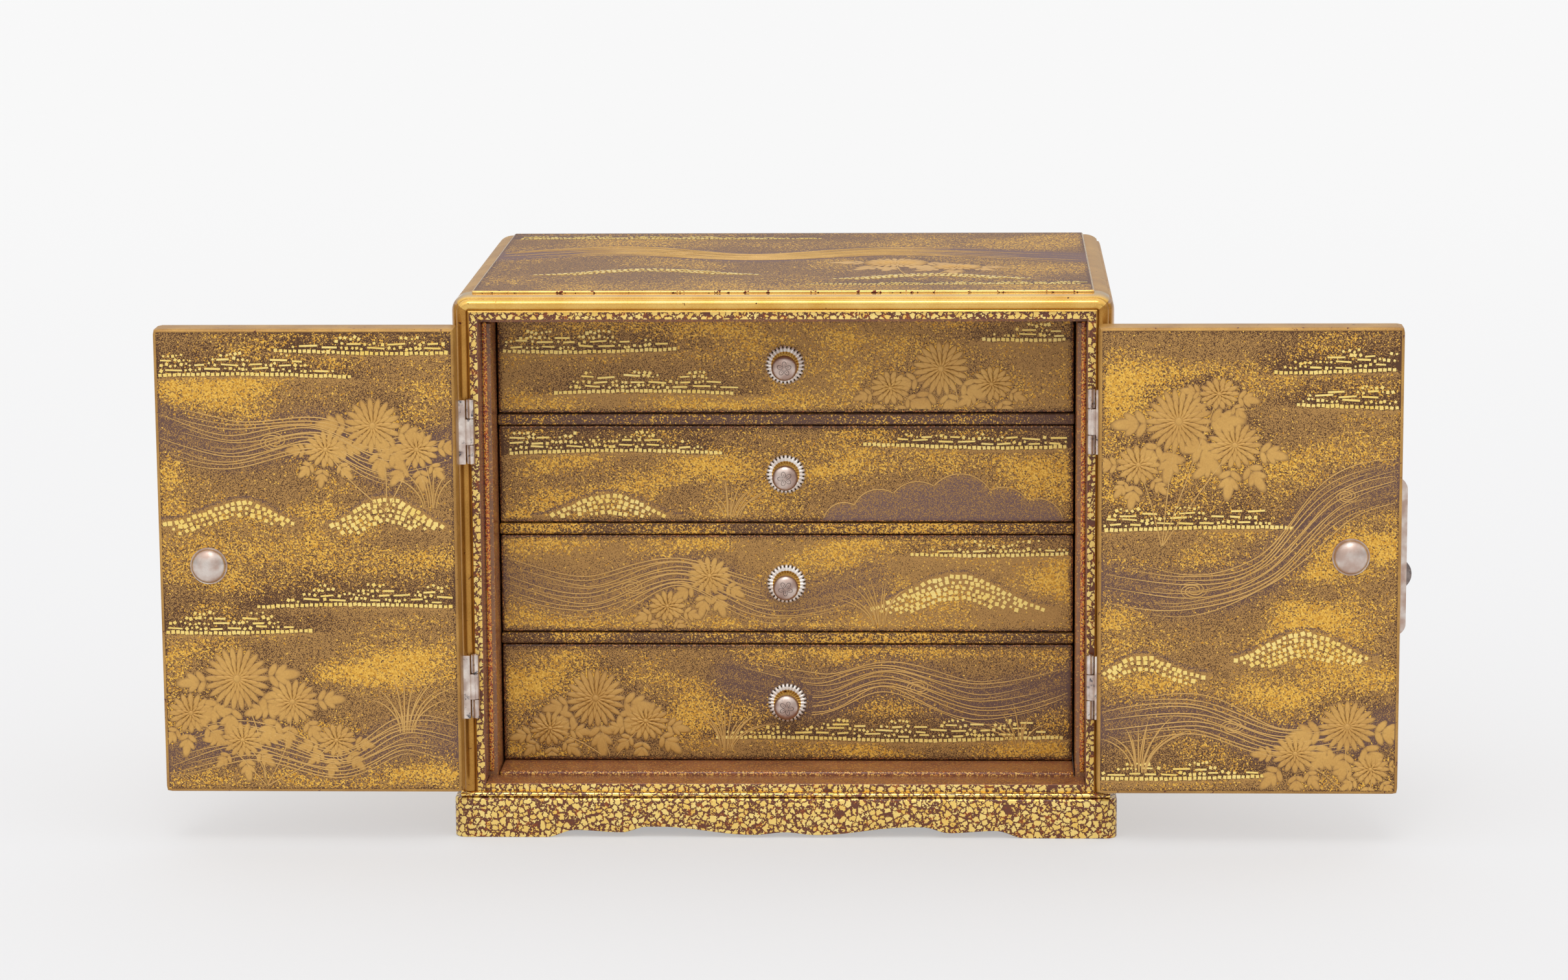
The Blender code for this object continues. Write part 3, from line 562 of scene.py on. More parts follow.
def looking(normal: str, origin: Sequence[float]) -> Matrix:
    """Axes of a flat face: along it, up it and out of it.

    Args:
        normal: which way the face looks: -y, +y, -x, +x or +z.
        origin: the face's middle, in millimetres.

    Returns:
        From the face's own axes to the frame's.
    """
    axes = {
        "-y": ((1, 0, 0), (0, 0, 1), (0, -1, 0)),
        "+y": ((-1, 0, 0), (0, 0, 1), (0, 1, 0)),
        "-x": ((0, -1, 0), (0, 0, 1), (-1, 0, 0)),
        "+x": ((0, 1, 0), (0, 0, 1), (1, 0, 0)),
        "+z": ((1, 0, 0), (0, 1, 0), (0, 0, 1)),
    }[normal]
    return Matrix.Translation(Vector(origin)) @ Matrix(axes).transposed().to_4x4()


@dataclass
class Slab:
    """Board whose face is a fine grid, to carry paint, inside an eased rim.

    The face lies at z = 0 of its own axes and looks along +Z.
    """

    width: float
    height: float
    thickness: float
    ease: float
    cell: float
    both_faces: bool = False

    def build(self) -> BMesh:
        """Returns the board; faces of the grid have material 0 and the rim has 1."""
        bm = bmesh.new()
        half = (self.width / 2 - self.ease, self.height / 2 - self.ease)
        counts = [max(1, round(2 * h / self.cell)) for h in half]
        bmesh.ops.create_grid(bm, x_segments=counts[0], y_segments=counts[1], size=1.0)
        bmesh.ops.scale(bm, vec=(half[0], half[1], 1.0), verts=bm.verts)
        face = set(bm.faces)
        loop = sorted((v for v in bm.verts if v.is_boundary), key=lambda v: math.atan2(v.co.y, v.co.x))
        flat = [v.co.copy() for v in loop]
        out = [
            Vector([math.copysign(1, p[k]) if abs(p[k]) > half[k] - WELD else 0.0 for k in (0, 1)] + [0.0])
            for p in flat
        ]
        out = [d.normalized() if d.length > 1.2 else d for d in out]  # corners go out at 45 degrees
        turns = [math.radians(a) for a in (22.5, 45, 67.5, 90)]
        rings = [(self.ease * math.sin(a), self.ease * (1 - math.cos(a))) for a in turns]
        if self.both_faces:
            rings.append((self.ease, self.thickness / 2))
        else:
            rings += [(reach, self.thickness - depth) for reach, depth in reversed(rings)]
            rings.append((0.0, self.thickness))
        for reach, depth in rings:
            places = [p + d * reach - Vector((0, 0, depth)) for p, d in zip(flat, out)]
            loop = extrude_loop(bm, loop, places)
        for rim in bm.faces:
            rim.material_index = 0 if rim in face else 1
        if self.both_faces:
            middle = Matrix.Translation((0, 0, self.thickness / 2))
            geom = bm.verts[:] + bm.edges[:] + bm.faces[:]
            bmesh.ops.mirror(bm, geom=geom, matrix=middle, merge_dist=-1.0, axis="Z")
            bmesh.ops.remove_doubles(bm, verts=bm.verts, dist=WELD)
        else:
            close_loop(bm, loop)
            bm.faces.ensure_lookup_table()
            bm.faces[-1].material_index = 1
        bmesh.ops.recalc_face_normals(bm, faces=bm.faces)
        return bm


class Taper(Enum):
    """Which end of a mist band thins out."""

    LEFT = "left"
    RIGHT = "right"
    BOTH = "both"


@dataclass
class Layers:
    """Painted weights of a face, each an array over its points."""

    amber: Array
    dust: Array
    bare: Array


@dataclass(frozen=True)
class CutPiece:
    """A square or strip of cut gold sheet on a face."""

    along: float
    up: float
    turn: float
    length: float
    width: float


class Motif:
    """A part of a design; each method may be left as it is."""

    def paint(self, along: Array, up: Array, layers: Layers) -> None:
        """Changes the painted weights."""

    def cut_gold(self, rng: random.Random) -> list[CutPiece]:
        """Returns the squares and strips."""
        return []

    def relief(self, bm: BMesh, rng: random.Random) -> None:
        """Adds raised gold."""

    def strokes(self, rng: random.Random) -> list[Stroke]:
        """Returns drawn lines."""
        return []


@dataclass
class MistBand(Motif):
    """Long drift of mist: a gold lower edge, dark above, set with rows of cut gold that thin out."""

    start: float
    end: float
    level: float
    rows: int = 5
    tapers: Taper = Taper.RIGHT
    square: float = 0.9
    spacing: float = 1.22
    row_gap: float = 1.25
    strip_share: float = 0.24
    fade: float = 10.0  # how far the painted drift runs on past the cut gold

    def share(self, along: Union[float, Array], past: float = 0.0) -> Array:
        """How full the band is along its length, from 0 to 1."""
        start, end = self.start - past, self.end + past
        t = (along - start) / (end - start)
        fall = {Taper.LEFT: t, Taper.RIGHT: 1 - t, Taper.BOTH: 1 - np.abs(2 * t - 1)}[self.tapers]
        bumps = 0.78 + 0.22 * np.sin(along * 0.42 + self.level)
        return np.where((t >= 0) & (t <= 1), np.clip(fall * 2.6, 0, 1) * bumps, 0.0)

    def base(self, along: Union[float, Array]) -> Array:
        """Height of the lower edge."""
        return self.level + 0.45 * np.sin(along * 0.08 + self.level)

    def paint(self, along: Array, up: Array, layers: Layers) -> None:
        """Draws the gold lower edge and the dark drift above it."""
        share = np.clip(self.share(along, self.fade) * 1.6, 0, 1)
        rise = up - self.base(along)
        above = np.clip(rise, 0, None)
        drift = share * (1 - np.exp(-above / 0.5)) * np.exp(-above / (1.2 * self.rows * self.row_gap))
        line = share * np.exp(-((rise / 0.42) ** 2))
        glow = share * np.exp(np.clip(rise, None, 0) / 1.6) * (rise < 0)
        layers.amber *= 1 - np.clip(1.3 * drift + line, 0, 1)
        layers.dust += 0.32 * line + 0.12 * glow - 0.62 * drift

    def cut_gold(self, rng: random.Random) -> list[CutPiece]:
        """Rows of squares, largest at the bottom, with a strip here and there."""
        made = []
        for row in range(self.rows):
            along = self.start + rng.uniform(0.4, 1.2)
            loose = 0.1 if row == 0 else 0.34
            while along < self.end - 0.8:
                up = float(self.base(along)) + 0.8 + self.row_gap * row + rng.uniform(-loose, loose)
                if float(self.share(along)) * self.rows > row + rng.uniform(0.0, 0.5):
                    if 0 < row < self.rows - 1 and rng.random() < self.strip_share:
                        length, tilt = rng.uniform(2.4, 4.6), rng.uniform(-0.08, 0.08)
                        made.append(CutPiece(along + length / 2, up, tilt, length, rng.uniform(0.38, 0.52)))
                        along += length
                    else:
                        side = self.square * rng.uniform(0.86, 1.06) if row == 0 else rng.uniform(0.42, 0.86)
                        turn = rng.uniform(-2, 2) * loose
                        made.append(CutPiece(along, up, turn, side, side * rng.uniform(0.85, 1.1)))
                along += self.spacing + rng.uniform(-loose, loose)
        return made


@dataclass
class Sandbar(Motif):
    """Low rounded sandbar: a dark line over a pale edge, set with rows of cut gold along its crest."""

    middle: float
    foot: float
    half: float
    rise: float
    rows: int = 4
    lean: float = 0.0
    spacing: float = 1.45
    row_gap: float = 1.38

    def crest(self, along: Array) -> Array:
        """Height of the upper edge."""
        t = np.clip((along - self.middle) / self.half, -1, 1)
        t = t - self.lean * (1 - t * t)
        return self.foot + self.rise * (1 + np.cos(math.pi * t)) / 2

    def paint(self, along: Array, up: Array, layers: Layers) -> None:
        """Draws the dark line and the pale edge that fades down the bar."""
        t = np.abs(along - self.middle) / self.half
        here = np.clip((1.04 - t) * 8, 0, 1)
        depth = self.crest(along) - up
        body = here * (depth > 0) * np.exp(-np.clip(depth, 0, None) / 3.6)
        line = here * np.exp(-(((depth + 0.35) / 0.4) ** 2))
        layers.amber *= 1 - 0.9 * np.clip(body * 1.6 + line, 0, 1)
        layers.dust += 0.3 * body - 0.4 * line
        layers.bare += 0.7 * line

    def cut_gold(self, rng: random.Random) -> list[CutPiece]:
        """Rows of squares that follow the crest."""
        made = []
        for row in range(self.rows):
            along = self.middle - self.half * (0.86 - 0.1 * row) + rng.uniform(0, 0.8)
            end = self.middle + self.half * (0.86 - 0.12 * row)
            while along < end:
                low, here, high = (float(v) for v in self.crest(np.array([along - 0.3, along, along + 0.3])))
                slope = math.atan2(high - low, 0.6)
                side = rng.uniform(0.6, 1.16) if row else rng.uniform(0.84, 1.18)
                up = here - 1.25 - self.row_gap * row + rng.uniform(-0.25, 0.25)
                made.append(CutPiece(along, up, slope + rng.uniform(-0.4, 0.4), side, side))
                along += (self.spacing + rng.uniform(-0.15, 0.4)) * math.cos(slope)
        return made


def smooth_path(points: Sequence[Point], steps: int) -> Array:
    """Runs a smooth curve through points, with so many samples between two of them."""
    knots = np.array([points[0], *points, points[-1]], float)
    t = np.linspace(0, 1, steps, endpoint=False)[:, None]
    runs = [
        0.5 * (2 * b + (c - a) * t + (2 * a - 5 * b + 4 * c - d) * t**2 + (3 * b - a - 3 * c + d) * t**3)
        for a, b, c, d in zip(knots, knots[1:], knots[2:], knots[3:])
    ]
    return np.vstack(runs + [knots[-1:]])


@dataclass
class Stream(Motif):
    """Flowing water: near-parallel drawn lines on a bare purple-brown ground, with a few whirls."""

    points: Sequence[Point]
    width: float = 12.0
    lines: int = 11
    whirls: Sequence[Triple] = ()  # along, up, radius
    steps: int = 14

    def sides(self) -> tuple[Array, Array]:
        """Middle line and the direction across it at each point."""
        path = smooth_path(self.points, self.steps)
        along = np.gradient(path, axis=0)
        return path, np.stack([-along[:, 1], along[:, 0]], 1) / np.linalg.norm(along, axis=1)[:, None]

    def paint(self, along: Array, up: Array, layers: Layers) -> None:
        """Bares the lacquer near the middle line and drifts dust along every third line."""
        nearest = np.full(along.shape, 1e9)
        across = np.zeros(along.shape)
        for (x, y), (sx, sy) in zip(*self.sides()):
            away = np.hypot(along - x, up - y)
            across = np.where(away < nearest, (along - x) * sx + (up - y) * sy, across)
            nearest = np.minimum(nearest, away)
        inside = 1 / (1 + np.exp((nearest - self.width * 0.5) / 1.1))
        swell = (across * (self.lines - 1) / (3 * self.width)) % 1.0
        layers.amber *= 1 - 0.97 * inside
        layers.dust += inside * (0.34 * swell**2 - 0.44)
        layers.bare += 0.6 * inside

    def strokes(self, rng: random.Random) -> list[Stroke]:
        """Lines beside the path, each with its own length and swell, and the whirls."""
        path, side = self.sides()
        made = []
        last = len(path) - 1
        for k in range(self.lines):
            spread = self.width * (k / (self.lines - 1) - 0.5)
            phase = rng.uniform(0, 6.28)
            start = int(last * rng.uniform(0, 0.22))
            stop = int(last * (1 - rng.uniform(0, 0.22)))
            run: Stroke = []
            for i in range(start, stop + 1):
                t = (i - start) / (stop - start)
                off = spread * (0.82 + 0.18 * math.sin(i * 0.16)) + 0.35 * math.sin(i * 0.3 + phase)
                x, y = path[i] + side[i] * off
                run.append((float(x), float(y), 0.03 + 0.15 * math.sin(math.pi * t) ** 0.6))
            made.append(run)
        for x, y, radius in self.whirls:
            for arm in range(3):
                run = []
                for i in range(30):
                    turn = 0.24 * i + arm * 2.09
                    reach = radius * (0.12 + 0.88 * i / 29)
                    swell = 0.03 + 0.15 * math.sin(math.pi * i / 29)
                    run.append((x + reach * math.cos(turn), y + 0.62 * reach * math.sin(turn), swell))
                made.append(run)
        return made


@dataclass
class Grass(Motif):
    """Tuft of bending autumn grass."""

    along: float
    root: float
    height: float
    blades: int = 13
    lean: float = 0.3

    def strokes(self, rng: random.Random) -> list[Stroke]:
        """Blades that bend over, thin at both ends."""
        made = []
        for k in range(self.blades):
            spread = (k / max(1, self.blades - 1) - 0.5) * 2
            tall = self.height * rng.uniform(0.55, 1.0)
            tip = spread * 0.62 * self.height + self.lean * tall * rng.uniform(0.4, 1.2)
            foot = self.along + spread * 1.6 + rng.uniform(-0.4, 0.4)
            run: Stroke = []
            for t in (i / 14 for i in range(15)):
                y = self.root + tall * (t - 0.32 * t**3 * abs(spread))
                swell = 0.02 + 0.2 * math.sin(math.pi * min(1.0, t + 0.12)) ** 0.8
                run.append((foot + tip * t**1.8, y, swell))
            made.append(run)
        return made

    def paint(self, along: Array, up: Array, layers: Layers) -> None:
        """Thickens the dust round the root."""
        near = np.exp(-(((along - self.along) / 6) ** 2) - (((up - self.root) / 4) ** 2))
        layers.dust += 0.15 * near


@dataclass(frozen=True)
class Bloom:
    """One chrysanthemum: its place, its size and how far it is turned away."""

    along: float
    up: float
    radius: float
    squash: float = 1.0


@dataclass
class Chrysanthemums(Motif):
    """Raised gold spray of chrysanthemums with lobed leaves and stems."""

    blooms: Sequence[Bloom]
    stem_to: Point
    leaves: int = 5
    # reach, length and width of a petal against the bloom, its height in mm and the ring's first turn
    rings: Sequence[tuple] = (
        (0.68, 0.32, 2.1, 0.2, 0.0), (0.45, 0.27, 1.5, 0.32, 0.1), (0.24, 0.2, 1.1, 0.42, 0.2),
    )
    # reach, swing, length and width of a leaf's lobes against its size
    lobes: Sequence[tuple] = ((0.3, 0.0, 0.46, 0.2), (0.28, 0.72, 0.3, 0.13), (0.06, 1.0, 0.28, 0.13))

    def petal(self, bm: BMesh, axes: Matrix, size: Triple) -> None:
        """Adds one rounded petal or lobe."""
        shape = template("petal", bmesh.ops.create_uvsphere, u_segments=10, v_segments=8, radius=1.0)
        # the crease value places painted shade at each petal's rim
        if CREASE_SHADE not in shape.attributes:
            rim = shape.attributes.new(CREASE_SHADE, "FLOAT", "POINT")
            rim.data.foreach_set("value", [1.0 - abs(vert.co.z) for vert in shape.vertices])
        stamp(bm, shape, axes @ Matrix.Diagonal((*size, 1.0)))

    def relief(self, bm: BMesh, rng: random.Random) -> None:
        """Adds blooms in three rings of petals, and leaves below them."""
        for bloom in self.blooms:
            r = bloom.radius
            axes = Matrix.Translation((bloom.along, bloom.up, 0))
            axes = axes @ Matrix.Diagonal((1.0, bloom.squash, 1.0, 1.0))
            full = max(14, round(r * 2.6))
            for inner, (reach, length, width, height, first) in enumerate(self.rings):
                count = full - 3 * inner
                for k in range(count):
                    turn = Matrix.Rotation(first + 2 * math.pi * k / count, 4, "Z")
                    spot = axes @ turn @ Matrix.Translation((reach * r, 0, 0))
                    self.petal(bm, spot, (length * r, width * r / full, height))
            self.petal(bm, axes, (0.14 * r, 0.14 * r, 0.5))
            for k in range(self.leaves):
                turn = -math.pi / 2 + (k - (self.leaves - 1) / 2) * 0.75 + rng.uniform(-0.2, 0.2)
                self.leaf(bm, bloom, turn, r * rng.uniform(0.8, 1.05))

    def leaf(self, bm: BMesh, bloom: Bloom, turn: float, size: float) -> None:
        """Adds one leaf of five lobes that starts under the bloom's edge."""
        start = Matrix.Translation((bloom.along, bloom.up, 0)) @ Matrix.Rotation(turn, 4, "Z")
        start = start @ Matrix.Translation((bloom.radius * 0.92, 0, 0))
        for reach, swing, length, width in self.lobes:
            for side in (1, -1) if swing else (1,):
                lobe = Matrix.Translation((reach * size, 0, 0)) @ Matrix.Rotation(side * swing, 4, "Z")
                lobe = lobe @ Matrix.Translation((length * size * 0.8, 0, 0))
                self.petal(bm, start @ lobe, (length * size, width * size, 0.15))

    def strokes(self, rng: random.Random) -> list[Stroke]:
        """Stems from the blooms to the root."""
        made = []
        root = self.stem_to
        for bloom in self.blooms:
            half_way = (bloom.along + root[0]) / 2 + rng.uniform(-2, 2), (bloom.up + root[1]) / 2
            path = smooth_path([(bloom.along, bloom.up), half_way, root], 10)
            made.append([(float(x), float(y), 0.16) for x, y in path])
        return made

    def paint(self, along: Array, up: Array, layers: Layers) -> None:
        """Darkens the ground in a ring just round each bloom."""
        for bloom in self.blooms:
            away = np.hypot(along - bloom.along, (up - bloom.up) / max(0.5, bloom.squash)) / bloom.radius
            near = np.exp(-(((away - 1.1) / 0.35) ** 2))
            layers.dust -= 0.18 * near
            layers.amber *= 1 - 0.5 * near


@dataclass
class CloudBank(Motif):
    """Bank of scalloped cloud: bare purple-brown lacquer inside a drawn gold edge."""

    circles: Sequence[Triple]
    foot: float

    def paint(self, along: Array, up: Array, layers: Layers) -> None:
        """Bares the lacquer inside the scallops and drifts dust along their edge."""
        inside = np.full(along.shape, -1e9)
        for x, y, radius in self.circles:
            inside = np.maximum(inside, radius - np.hypot(along - x, up - y))
        inside = np.minimum(inside, up - self.foot)
        full = 1 / (1 + np.exp(-inside / 0.25))
        layers.amber *= 1 - full
        layers.dust = layers.dust * (1 - full) + full * (0.3 + 0.3 * np.exp(-np.clip(inside, 0, None) / 1.5))
        layers.bare += full

    def strokes(self, rng: random.Random) -> list[Stroke]:
        """The outer arcs of the scallops."""
        runs: list[Stroke] = []
        for n, (x, y, radius) in enumerate(self.circles):
            others = [circle for m, circle in enumerate(self.circles) if m != n]
            runs.append([])
            for px, py in arc((x, y), (radius, radius), 0, 180, 60):
                if py < self.foot or any(math.hypot(px - a, py - b) < r for a, b, r in others):
                    runs.append([])
                else:
                    runs[-1].append((px, py, 0.17))
        return [run for run in runs if len(run) > 3]


@dataclass
class Design:
    """Decoration of one flat face, about its middle."""

    motifs: Sequence[Motif]
    seed: int
    dust: float = 0.66
    amber: float = 1.0
    bare: float = 0.0
    margin: float = 1.0  # along the face's edges, in millimetres
    leaf: float = 0.16  # thickness of cut gold, half of it sunk
    width: float = 0.0
    height: float = 0.0
    clear: Sequence[Triple] = ()  # along, up and radius of the fittings that stand on it

    def fit(self, slab: Slab, clear: Sequence[Triple] = ()) -> None:
        """Takes its size from the board that carries it, and the fittings to keep clear of."""
        self.width, self.height, self.clear = slab.width, slab.height, clear

    def weights(self, along: Array, up: Array) -> Array:
        """Painted weights at points of the face."""
        layers = Layers(*(np.full(along.shape, value) for value in (self.amber, self.dust, self.bare)))
        for motif in self.motifs:
            motif.paint(along, up, layers)
        rim = np.minimum(self.width / 2 - np.abs(along), self.height / 2 - np.abs(up))
        line = np.exp(-((np.clip(rim - 0.5, 0, None) / 0.7) ** 2))
        layers.amber *= 1 - line
        layers.dust -= 0.45 * line
        made = np.stack([layers.amber, layers.dust, layers.bare, np.ones(along.shape)], -1)
        return np.clip(made, 0.0, 1.0)

    def painter(self) -> Painter:
        """Painter of a board whose own axes are the face's."""
        return lambda co: self.weights(co[:, 0].astype(float), co[:, 1].astype(float))

    def on_face(self, along: float, up: float, margin: float) -> bool:
        """Whether a spot is on the face and clear of its fittings."""
        if abs(along) > self.width / 2 - margin or abs(up) > self.height / 2 - margin:
            return False
        return all(math.hypot(along - x, up - y) > r + margin for x, y, r in self.clear)

    def dress(self, name: str, body: str, place: Matrix) -> None:
        """Makes the face's cut gold, relief and drawn lines.

        Args:
            name: start of the pieces' names.
            body: the CAD body that they ride on.
            place: the face's axes, in millimetres.
        """
        rng = random.Random(self.seed)
        gold, relief = bmesh.new(), bmesh.new()
        strokes: list[Stroke] = []
        square = template("cut_leaf", bmesh.ops.create_cube, size=1.0)
        for motif in self.motifs:
            for number, cut in enumerate(motif.cut_gold(rng)):
                if self.on_face(cut.along, cut.up, max(cut.length / 2, 0.5) + self.margin):
                    lift = 0.02 + 0.003 * (number % 11)  # so that no two tops that overlap share a plane
                    axes = Matrix.Translation((cut.along, cut.up, lift)) @ Matrix.Rotation(cut.turn, 4, "Z")
                    stamp(gold, square, axes @ Matrix.Diagonal((cut.length, cut.width, self.leaf, 1.0)))
            motif.relief(relief, rng)
            strokes += motif.strokes(rng)
        self.trim(relief)
        for word, bm, finish in (("cut_gold", gold, CUT_GOLD), ("relief", relief, RELIEF)):
            if bm.faces:
                make_piece(f"{name}_{word}", bm, body, [finish], place=place)
            else:
                bm.free()
        kept: list[Stroke] = []
        for run in strokes:
            kept.append([])
            for x, y, radius in run:
                if self.on_face(x, y, self.margin):
                    kept[-1].append((x, y, radius))
                else:
                    kept.append([])
        kept = [run for run in kept if len(run) > 2]
        if kept:
            make_piece(f"{name}_lines", drawn(kept), body, [LINES], place=place, sharp_over=80)

    def trim(self, bm: BMesh) -> None:
        """Cuts raised gold off at the face's edges and removes what lies behind the face."""
        sizes = (self.width, self.height)
        planes = [(axis, side, size / 2 - self.margin) for axis, size in enumerate(sizes) for side in (1, -1)]
        for axis, side, reach in [*planes, (2, -1, 0.05)]:
            away = Vector([side * (k == axis) for k in range(3)])
            geom = bm.verts[:] + bm.edges[:] + bm.faces[:]
            bmesh.ops.bisect_plane(
                bm, geom=geom, dist=1e-5, plane_co=away * reach, plane_no=away, clear_outer=True
            )


def drawn(strokes: Sequence[Stroke]) -> BMesh:
    """Makes raised lines, half sunk in the face, from curves whose radius follows each stroke."""
    curve = bpy.data.curves.new("strokes", "CURVE")
    curve.dimensions = "3D"
    curve.bevel_depth = 1.0
    curve.bevel_resolution = 1
    for run in strokes:
        spline = curve.splines.new("POLY")
        spline.points.add(len(run) - 1)
        for point, (x, y, radius) in zip(spline.points, run):
            point.co = (x, y, 0.0, 1.0)
            point.radius = radius
    holder = bpy.data.objects.new("strokes", curve)
    bpy.context.scene.collection.objects.link(holder)
    graph = bpy.context.evaluated_depsgraph_get()
    mesh = bpy.data.meshes.new_from_object(holder.evaluated_get(graph))
    bm = bmesh.new()
    bm.from_mesh(mesh)
    bpy.data.objects.remove(holder)
    bpy.data.curves.remove(curve)
    bpy.data.meshes.remove(mesh)
    return bm


CORNER_STEPS = (0, 9, 18, 26, 29, 32, 35, 38, 46, 55, 64, 73, 82, 90)  # degrees round an upper corner
HEAD, BAND, BACK, STILE = range(4)  # material indices of the front frame


@dataclass
class FrontFrame:
    """Moulding round the doorway, in one run with mitred corners, and the sill below it."""

    band: float = 2.1
    fillet: float = 0.45
    fillet_rise: float = 0.6
    fillet_slope: float = 34.0  # degrees, so that the fillet catches the light from above
    fillet_depth: float = 0.25
    bead: float = 2.8
    bead_rise: float = 1.1
    groove: float = 0.15
    strip: float = 1.3
    strip_depth: float = 5.2
    rebate: float = 9.0
    ease: float = 0.4
    corner: float = 4.6
    head_strip: float = 0.6
    notch: Triple = (32.0, 6.0, 0.55)  # middle and half spread in degrees, depth in mm
    field_rise: float = 0.7
    sill_bead: float = 1.7

    def __post_init__(self) -> None:
        """Takes the frame's places from its CAD nodes."""
        left, right, head = (box_mm(n) for n in ("stile_left", "stile_right", "rail_head"))
        self.width = self.band + self.fillet + self.bead + self.groove + self.strip
        self.middle = (left[0].x + right[1].x) / 2
        self.half = (right[1].x - left[0].x) / 2 - self.width
        self.face = left[0].y + self.bead_rise
        self.back = self.face + self.rebate
        self.bottom = left[0].z
        self.top = head[1].z - self.width

    def strip_at(self, angle: float) -> float:
        """Width of the outer strip at an angle round an upper corner, in degrees from the stile's side."""
        middle, spread, depth = self.notch
        dip = depth * max(0.0, 1.0 - abs(angle - middle) / spread)
        return self.strip + (self.head_strip - self.strip) * math.sin(math.radians(angle)) ** 2 - dip

    def turn(self, out: float, angle: float) -> Point:
        """Returns where a point of the section lies at an angle round an upper corner.

        Args:
            out: distance outwards from the doorway.
            angle: degrees from the stile's side to the head.

        Returns:
            Sideways place from the middle of the cabinet, and height.
        """
        inner = self.width - self.corner
        if out <= inner:
            return self.half + out, self.top + out
        reach = out - inner
        by = math.radians(angle)
        return self.half + inner + reach * math.cos(by), self.top + inner + reach * math.sin(by)

    def shoulder(self) -> list[Point]:
        """Returns the outline of the right upper edge, from the side to the top."""
        strip_start = self.width - self.strip
        return [self.turn(strip_start + self.strip_at(angle), angle) for angle in CORNER_STEPS]

    def section(self, strip: float) -> tuple[list[Point], list[int]]:
        """Works out the moulding's section.

        Args:
            strip: width of the outer strip.

        Returns:
            (out, back) points and the finish of the edge that starts at each.
        """
        start = self.band + self.fillet
        end = start + self.bead
        fall = self.fillet * math.tan(math.radians(self.fillet_slope))
        deep = self.fillet_depth + self.groove
        points = [(0.0, self.rebate), *arc((self.ease, self.ease), (self.ease, self.ease), 180, 270, 5)]
        points += [(self.band, 0.0), (self.band, -self.fillet_rise), (start, fall - self.fillet_rise)]
        radii = (self.bead / 2, self.fillet_depth + self.bead_rise)
        points += [*arc(((start + end) / 2, self.fillet_depth), radii, 180, 360, 22), (end, deep)]
        points += arc((end + self.groove, self.strip_depth), (strip, self.strip_depth - deep), 270, 360, 12)
        points.append((end + self.groove + strip, self.rebate))
        return points, [BACK] * 4 + [BAND] * 3 + [HEAD] * (len(points) - 8) + [BACK]

    def build(self) -> None:
        """Makes the moulding and the sill."""
        foot = self.bottom + self.sill_bead
        stations = [(-1, None)] + [(-1, angle) for angle in CORNER_STEPS]
        stations += [(1, angle) for angle in reversed(CORNER_STEPS)] + [(1, None)]
        head_run = len(CORNER_STEPS) // 2, len(stations) - 2 - len(CORNER_STEPS) // 2
        bm = bmesh.new()
        loop: list = []
        for run, (side, angle) in enumerate(stations):
            points, marks = self.section(self.strip_at(angle or 0.0))
            places = []
            for out, back in points:
                across, up = self.turn(out, angle or 0.0)
                z = foot if angle is None else up
                places.append(Vector((self.middle + side * across, self.face + back, z)))
            if not loop:
                loop = first_loop(bm, places)
                continue
            fresh = extrude_loop(bm, loop, places)
            on_head = head_run[0] < run <= head_run[1]
            for (a, b), (c, d), mark in zip(pairs(loop), pairs(fresh), marks):
                # the stiles' part of the bead takes the gold with painted shade
                bm.faces.get((a, b, d, c)).material_index = STILE if mark == HEAD and not on_head else mark
            loop = fresh
        close_loop(bm, loop)
        weld(bm)
        make_piece(
            "front_frame", bm, "carcass", [HEAD_GOLD, FLAKES, REBATE, SHADED_STILE_GOLD],
            replaces=["stile_left", "stile_right", "rail_head"], sharp_over=30,
        )
        self.build_sill()

    def build_sill(self) -> None:
        """Makes the flaked sill band between the stiles and the half-round bead below it."""
        low, high = box_mm("rail_sill")
        bm = bmesh.new()
        foot = low.z + self.sill_bead
        start = (self.middle - self.half, self.face, foot - 1.2)
        for face in rounded_box(bm, start, (self.middle + self.half, self.back, high.z), self.ease):
            face.material_index = 1 if face.normal.z > 0.5 else 0
        outer = self.half + self.width - 0.5
        under = box_mm("plinth_front")[1].z
        section = [(self.rebate, foot), (self.rebate, under), (0.2, under)]
        section += arc((0.2, low.z + self.sill_bead / 2), (1.6, self.sill_bead / 2), 270, 90, 16)
        loop = first_loop(bm, [(self.middle - outer, self.face + back, z) for back, z in section])
        loop = extrude_loop(bm, loop, [v.co + Vector((2 * outer, 0, 0)) for v in loop])
        close_loop(bm, loop)
        bmesh.ops.recalc_face_normals(bm, faces=bm.faces)
        for face in bm.faces:
            if face.calc_center_median().z < foot and abs(face.normal.x) < 0.5:
                face.material_index = 2
        finishes = [FLAKES, JAMB, POLISHED_FLAKES]
        make_piece("sill_rail", bm, "carcass", finishes, replaces=["rail_sill"])


